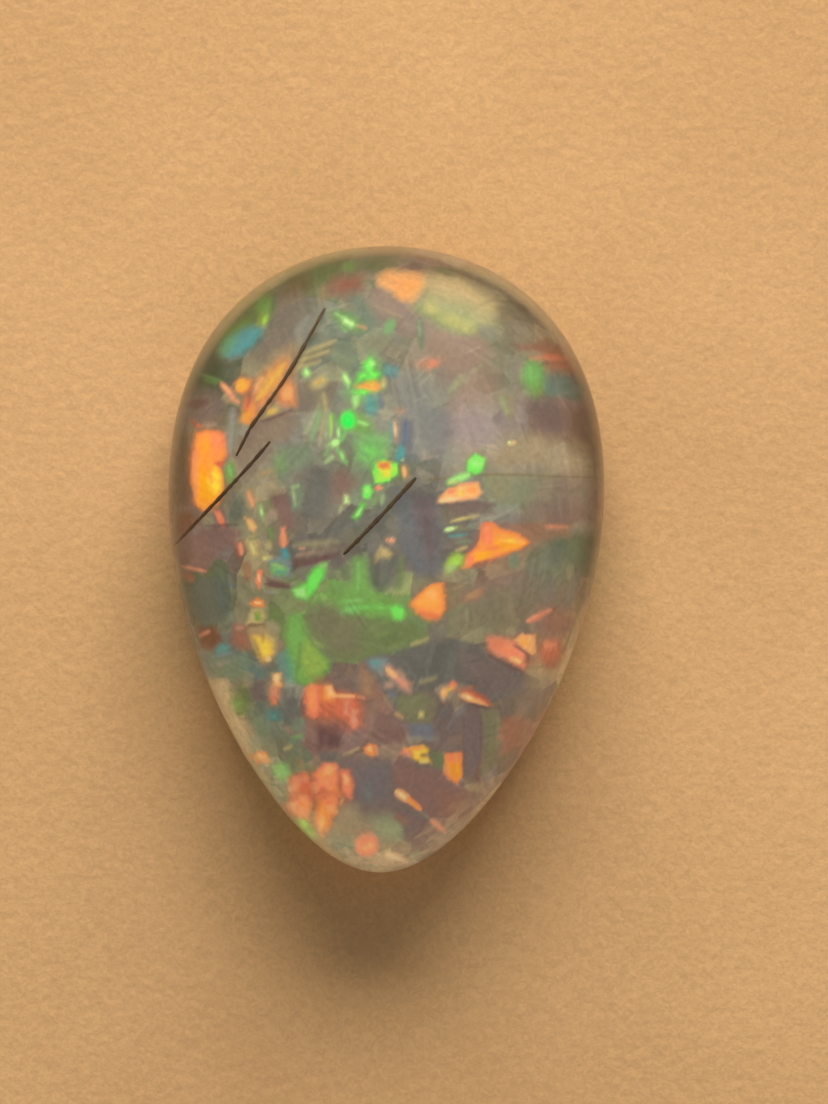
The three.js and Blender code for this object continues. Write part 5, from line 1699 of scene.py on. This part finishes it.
def tube_faces(first):
    """Sides and ends of a tube whose rings start at vertex first."""
    last = first + (NEEDLE_STEPS - 1) * NEEDLE_SIDES
    faces = []
    for ring in range(first, last, NEEDLE_SIDES):
        for turn in range(NEEDLE_SIDES):
            a = ring + turn
            b = ring + (turn + 1) % NEEDLE_SIDES
            faces.append((a, b, b + NEEDLE_SIDES, a + NEEDLE_SIDES))
    faces.append(tuple(range(first, first + NEEDLE_SIDES))[::-1])
    faces.append(tuple(range(last, last + NEEDLE_SIDES)))
    return faces


def build_needles():
    """The needles as thin uneven tubes, in one piece."""
    rng = np.random.default_rng(5)
    turns = np.arange(NEEDLE_SIDES) / NEEDLE_SIDES * 2 * math.pi
    rings = []
    faces = []
    for needle in NEEDLES:
        path = needle_path(needle)
        faces += tube_faces(len(rings) * NEEDLE_SIDES)
        for index, centre in enumerate(path):
            heading = path[min(index + 1, len(path) - 1)] - path[max(index - 1, 0)]
            side = np.cross(heading, (0, 0, 1))
            side /= np.linalg.norm(side)
            up = np.cross(side, heading / np.linalg.norm(heading))
            from_middle = abs(2 * index / (NEEDLE_STEPS - 1) - 1)
            radius = NEEDLE_RADIUS * (1 - NEEDLE_TAPER * from_middle**TAPER_POWER)
            radius *= 1 + NEEDLE_UNEVEN * rng.uniform(-1, 1)
            rings.append(centre + radius * (np.cos(turns)[:, None] * side + np.sin(turns)[:, None] * up))
    piece = mesh_object("opal_needles", np.concatenate(rings), faces)
    piece.data.materials.append(needle_material())
    return piece


def build_card():
    """The tan paper card: broad mottling, a fine grain and a slight tooth."""
    bpy.ops.mesh.primitive_plane_add(size=CARD_SIZE)
    card = bpy.context.active_object
    card.name = "card"
    made, tree, shader = material("tan_card", Roughness=CARD_ROUGHNESS)
    place = add(tree, "TexCoord")
    mottle = noise(tree, place, Scale=MOTTLE_SCALE, Detail=4)
    toned = add(tree, "VectorMath")
    toned.operation = "SCALE"
    tree.links.new(ramp(tree, mottle, NOISE_MIDDLE, CARD_DARK, CARD_LIGHT), toned.inputs[0])
    flecks = noise(tree, place, Scale=FLECK_SCALE, Detail=1, Distortion=1.5)
    tree.links.new(spread(tree, flecks, NOISE_MIDDLE, *FLECK_SHADE), toned.inputs["Scale"])
    tree.links.new(toned.outputs["Vector"], shader.inputs["Base Color"])
    bump = add(tree, "Bump", Strength=TOOTH_STRENGTH, Distance=TOOTH_HEIGHT)
    tree.links.new(noise(tree, place, Scale=TOOTH_SCALE, Detail=3), bump.inputs["Height"])
    tree.links.new(bump.outputs["Normal"], shader.inputs["Normal"])
    card.data.materials.append(made)


# Soft lamp beyond the round end, which throws the shadow towards the narrow end, and an even pale sky
KEY_PLACE = (0.010, 0.200, 0.100)
KEY_SIZE = (0.20, 0.12)
KEY_POWER = 0.95
SKY_STRENGTH = 0.245


def build_light():
    """An even sky and the lamp, which gloss doesn't mirror."""
    world = bpy.data.worlds.new("studio")
    bpy.context.scene.world = world
    world.use_nodes = True
    fill(world.node_tree.nodes["Background"], {"Color": (1, 1, 1, 1), "Strength": SKY_STRENGTH})
    key = bpy.data.lights.new("key", "AREA")
    key.shape = "RECTANGLE"
    key.size, key.size_y = KEY_SIZE
    key.energy = KEY_POWER
    lamp = bpy.data.objects.new("key", key)
    bpy.context.scene.collection.objects.link(lamp)
    lamp.location = KEY_PLACE
    lamp.visible_glossy = False
    lamp.visible_camera = False
    lamp.rotation_euler = (-Vector(KEY_PLACE)).to_track_quat("-Z", "Y").to_euler()


def build_camera():
    """The view from straight above."""
    camera = bpy.data.cameras.new("camera")
    camera.sensor_fit = "VERTICAL"
    camera.sensor_height = SENSOR_HEIGHT
    camera.lens = SENSOR_HEIGHT * DISTANCE / (FRAME_PIXELS / PIXELS_PER_MM)
    camera.clip_start = CLIP_START
    holder = bpy.data.objects.new("camera", camera)
    bpy.context.scene.collection.objects.link(holder)
    holder.location = (AIM[0] * MM, AIM[1] * MM, (GIRDLE_HEIGHT + DISTANCE) * MM)
    holder.rotation_euler = (0, 0, LEAN)
    bpy.context.scene.camera = holder


for built in [build_shell(), *build_fire(), build_needles()]:
    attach(built, "root")
    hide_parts("opal")

build_card()
build_light()
build_camera()
bpy.context.scene.view_settings.view_transform = "Standard"
